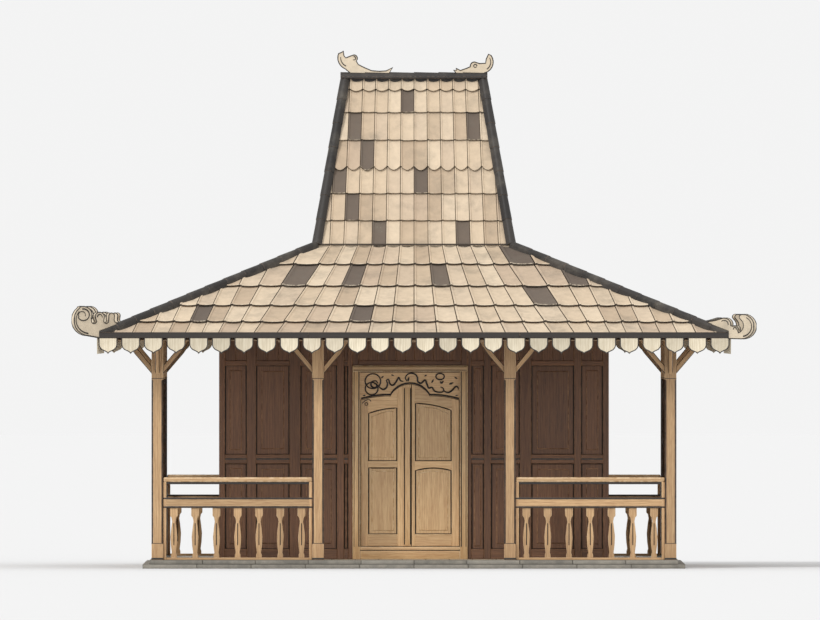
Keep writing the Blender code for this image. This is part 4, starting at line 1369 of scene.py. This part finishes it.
def right_corner():
    """A big hook, a small curl and a long leaf, as distances from the middle and heights."""
    hip = [(3.70, 3.15), (3.70, 3.02), (4.03, 2.95)]
    return hip + arcs_line([
        ((4.205, 3.104), 0.159, -90, 75), ((4.212, 3.222), 0.036, 75, 190),
        ((4.130, 3.115), 0.100, 50, -70), ((4.122, 3.075), 0.038, -30, 130),
        ((3.985, 3.130), 0.082, -10, 115),
    ]) + [(3.87, 3.18)]


LEFT_CORNER_LINES = (
    [((4.244, 3.253), 0.075, 80, 330), ((4.262, 3.250), 0.045, 330, 560)],
    [((4.165, 3.185), 0.172, -84, 40)],
    [((4.036, 3.228), 0.030, -10, 200)],
)
RIGHT_CORNER_LINES = (
    [((4.205, 3.104), 0.128, -80, 62)],
    [((4.122, 3.075), 0.018, -30, 220)],
    [((3.985, 3.130), 0.052, -5, 130)],
)


def corner_scroll(bm, side_x, side_y):
    """A modelled corner scroll in the upright plane of its hip, with dark ribs."""
    outline = left_corner() if side_x < 0 else right_corner()
    lines = LEFT_CORNER_LINES if side_x < 0 else RIGHT_CORNER_LINES
    across = Vector((-side_y, side_x, 0)).normalized()

    def set_out(points, lift):
        return [
            Vector((side_x * out, side_y * (out - EAVE_X + EAVE_Y), z)) + across * lift
            for out, z in points
        ]

    thick = 0.044
    part = start()
    sheet(part, set_out(outline, -thick / 2), thick, across)
    rims = [e for e in part.edges if abs((e.verts[1].co - e.verts[0].co).dot(across)) < 1e-6]
    soften(part, rims, 0.005, look=1)
    stamp(bm, part, look=2)
    for face in (-1, 1):
        rim = set_out([(min(out, 4.358), z) for out, z in outline], face * thick / 2)
        tendril(bm, rim, [0.007] * len(rim), sides=5, closed=True, look=1)
        for arcs in lines:
            points = set_out(arcs_line(arcs), face * thick / 2)
            last = len(points) - 1
            radii = [0.010 * (1 - 0.45 * k / last) for k in range(last + 1)]
            tendril(bm, points, radii, sides=6, look=1)


def left_finial():
    fin = arcs_line([((-0.83, 6.575), 0.155, 248, 160)])
    notch = [(-0.934, 6.645), (-0.914, 6.670), (-0.905, 6.600), (-0.882, 6.573), (-0.820, 6.597)]
    crest = arcs_line([((-0.775, 6.568), 0.044, 90, -50)])
    tail = [(-0.72, 6.487), (-0.64, 6.447), (-0.55, 6.408), (-0.45, 6.40), (-0.36, 6.405)]
    return [(-0.80, 6.36)] + fin + notch + crest + tail + [(-0.272, 6.452), (-0.33, 6.36)]


def right_finial():
    horn = arcs_line([((0.88, 6.52), 0.145, -60, 35)]) + [(0.964, 6.622), (0.935, 6.560)]
    neck = [(0.925, 6.503), (0.845, 6.500)]
    head = arcs_line([((0.780, 6.468), 0.052, 60, 190)])
    tail = [(0.685, 6.440), (0.60, 6.410), (0.541, 6.440), (0.550, 6.412), (0.512, 6.417)]
    return [(0.86, 6.36)] + horn + neck + head + tail + [(0.56, 6.36)]


def finial(bm, outline, lines):
    thick = 0.044
    part = start()
    sheet(part, [Vector((x, -thick / 2, z)) for x, z in outline], thick)
    rims = [e for e in part.edges if abs(e.verts[1].co.y - e.verts[0].co.y) < 1e-6]
    soften(part, rims, 0.004, look=1)
    stamp(bm, part, look=2)
    for face in (-1, 1):
        rim = [Vector((x, face * thick / 2, min(z, 6.662))) for x, z in outline]
        tendril(bm, rim, [0.007] * len(rim), sides=5, closed=True, look=1)
        for arcs in lines:
            points = [Vector((x, face * thick / 2, z)) for x, z in arcs_line(arcs)]
            last = len(points) - 1
            tendril(bm, points, [0.008 * (1 - 0.4 * k / last) for k in range(last + 1)], look=1)


def caps(black, pale):
    finishes = (black, black, pale)
    front, side = slope_normal(lower_slope("front")), slope_normal(lower_slope("right"))
    steep_front, steep_side = slope_normal(upper_slope("front")), slope_normal(upper_slope("right"))
    quarter = Matrix.Rotation(pi / 2, 3, "Z")
    for side_x, end in ((-1, "left"), (1, "right")):
        for side_y, face in ((-1, "front"), (1, "back")):
            flip = Vector((side_x, -side_y, 1))
            bm = bmesh.new()
            low = Vector((side_x * EAVE_X, side_y * EAVE_Y, EAVE_Z))
            top = Vector((side_x * BREAK_X, side_y * BREAK_Y, BREAK_Z))
            cap_run(bm, low, top, (front + quarter @ side) * flip, 0.056, 0.045, 0.055)
            trim(bm, low, Vector((side_x, 0, 0)))
            trim(bm, low, Vector((0, side_y, 0)))
            trim(bm, Vector((0, 0, 3.031)), Vector((0, 0, -1)))
            corner_scroll(bm, side_x, side_y)
            piece(f"hip_caps_lower_{face}_{end}", bm, finishes, (f"lower_hip_cap_{face}_{end}",))
            bm = bmesh.new()
            peak = Vector((side_x * RIDGE_X, 0, RIDGE_Z))
            cap_run(bm, top, peak, (steep_front + quarter @ steep_side) * flip, 0.058, 0.040, 0.055)
            trim(bm, Vector((0, side_y * GAP, 0)), Vector((0, -side_y, 0)))
            piece(f"hip_caps_upper_{face}_{end}", bm, finishes, (f"upper_hip_cap_{face}_{end}",))
    bm = bmesh.new()
    cap_run(
        bm, Vector((-0.95, 0, 6.338)), Vector((0.95, 0, 6.338)), Vector((0, 0, 1)), 0.062, 0.052, 0.02
    )
    block(bm, (-0.945, -0.072, 6.306), (0.945, 0.072, 6.336), 0.006, grain=ACROSS)
    block(bm, (-0.93, -0.012, 6.08), (0.93, 0.012, 6.31), 0.002, grain=ACROSS)
    finial(bm, left_finial(), (
        [((-0.83, 6.575), 0.118, 245, 175)], [((-0.775, 6.568), 0.022, 100, -120)],
    ))
    finial(bm, right_finial(), (
        [((0.88, 6.52), 0.112, -55, 28)], [((0.792, 6.470), 0.020, 0, 340)],
    ))
    piece("ridge_caps", bm, finishes, ("ridge_cap",))


# Stage


def stage():
    """A pale floor, soft light from the front, and the level view of the drawing."""
    bm = bmesh.new()
    bmesh.ops.create_grid(bm, x_segments=1, y_segments=1, size=400)
    mesh = bpy.data.meshes.new("studio_floor")
    bm.to_mesh(mesh)
    bm.free()
    floor = bpy.data.objects.new("studio_floor", mesh)
    bpy.context.scene.collection.objects.link(floor)
    paper, tree = finish("studio_paper", 0.9)
    shader = tree.nodes["Principled BSDF"]
    shader.inputs["Base Color"].default_value = colour("#dbdbdb")
    shader.inputs["Specular IOR Level"].default_value = 0.0
    mesh.materials.append(paper)

    world = bpy.data.worlds.new("studio")
    world.use_nodes = True
    world.node_tree.nodes["Background"].inputs["Color"].default_value = colour("#ffffff")
    world.node_tree.nodes["Background"].inputs["Strength"].default_value = 0.9
    bpy.context.scene.world = world
    for name, power, spread, azimuth, elevation in (
        ("key", 1.7, 16, -35, 38), ("fill", 0.5, 60, 30, 15),
    ):
        lamp = bpy.data.lights.new(name, "SUN")
        lamp.energy = power
        lamp.angle = radians(spread)
        light = bpy.data.objects.new(name, lamp)
        a, e = radians(azimuth), radians(elevation)
        toward = Vector((sin(a) * cos(e), -cos(a) * cos(e), sin(e)))
        light.rotation_euler = toward.to_track_quat("Z", "Y").to_euler()
        bpy.context.scene.collection.objects.link(light)
    bpy.context.scene.view_settings.view_transform = "Standard"

    lens = bpy.data.cameras.new("camera")
    distance, seen, sensor = 375.0, 10.513, 36.0
    lens.sensor_width = sensor
    lens.lens = sensor * distance / seen
    lens.clip_end = 2000
    camera = bpy.data.objects.new("camera", lens)
    camera.location = (-0.051, POST_Y[0] - distance, 3.314)
    camera.rotation_euler = (pi / 2, 0, 0)
    bpy.context.scene.collection.objects.link(camera)
    bpy.context.scene.camera = camera


def main():
    stage()
    # The walls' teak is darker than the posts' teak as painted shade
    teak, wall_teak_with_painted_shade, door_wood, lime = oiled_teak(), shade_darkened_teak(), door_teak(), limewashed_teak()
    lacquer, rafters, iron = black_lacquer(), rafter_wood(), wrought_iron()
    # The second clay is darkened as painted shade, for the tiles' sides and butts
    tile, soot_and_painted_shade, black, pale = clay_tile(), shade_painted_clay(), black_clay(), pale_clay()
    stone, paving, mortar = volcanic_stone(), cement_tile(), lime_mortar()

    plinth(stone, paving, mortar)
    posts(teak, lacquer)
    beams(teak, lacquer)
    walls(wall_teak_with_painted_shade, lacquer)
    door_frame(door_wood, lacquer, iron)
    transom(door_wood, lacquer)
    door_leaf(-1, door_wood, lacquer, iron)
    door_leaf(1, door_wood, lacquer, iron)
    railings(teak, lacquer)
    for name in TURNS:
        valance(name, lime, lacquer)
    roofs(tile, soot_and_painted_shade, rafters)
    caps(black, pale)


main()
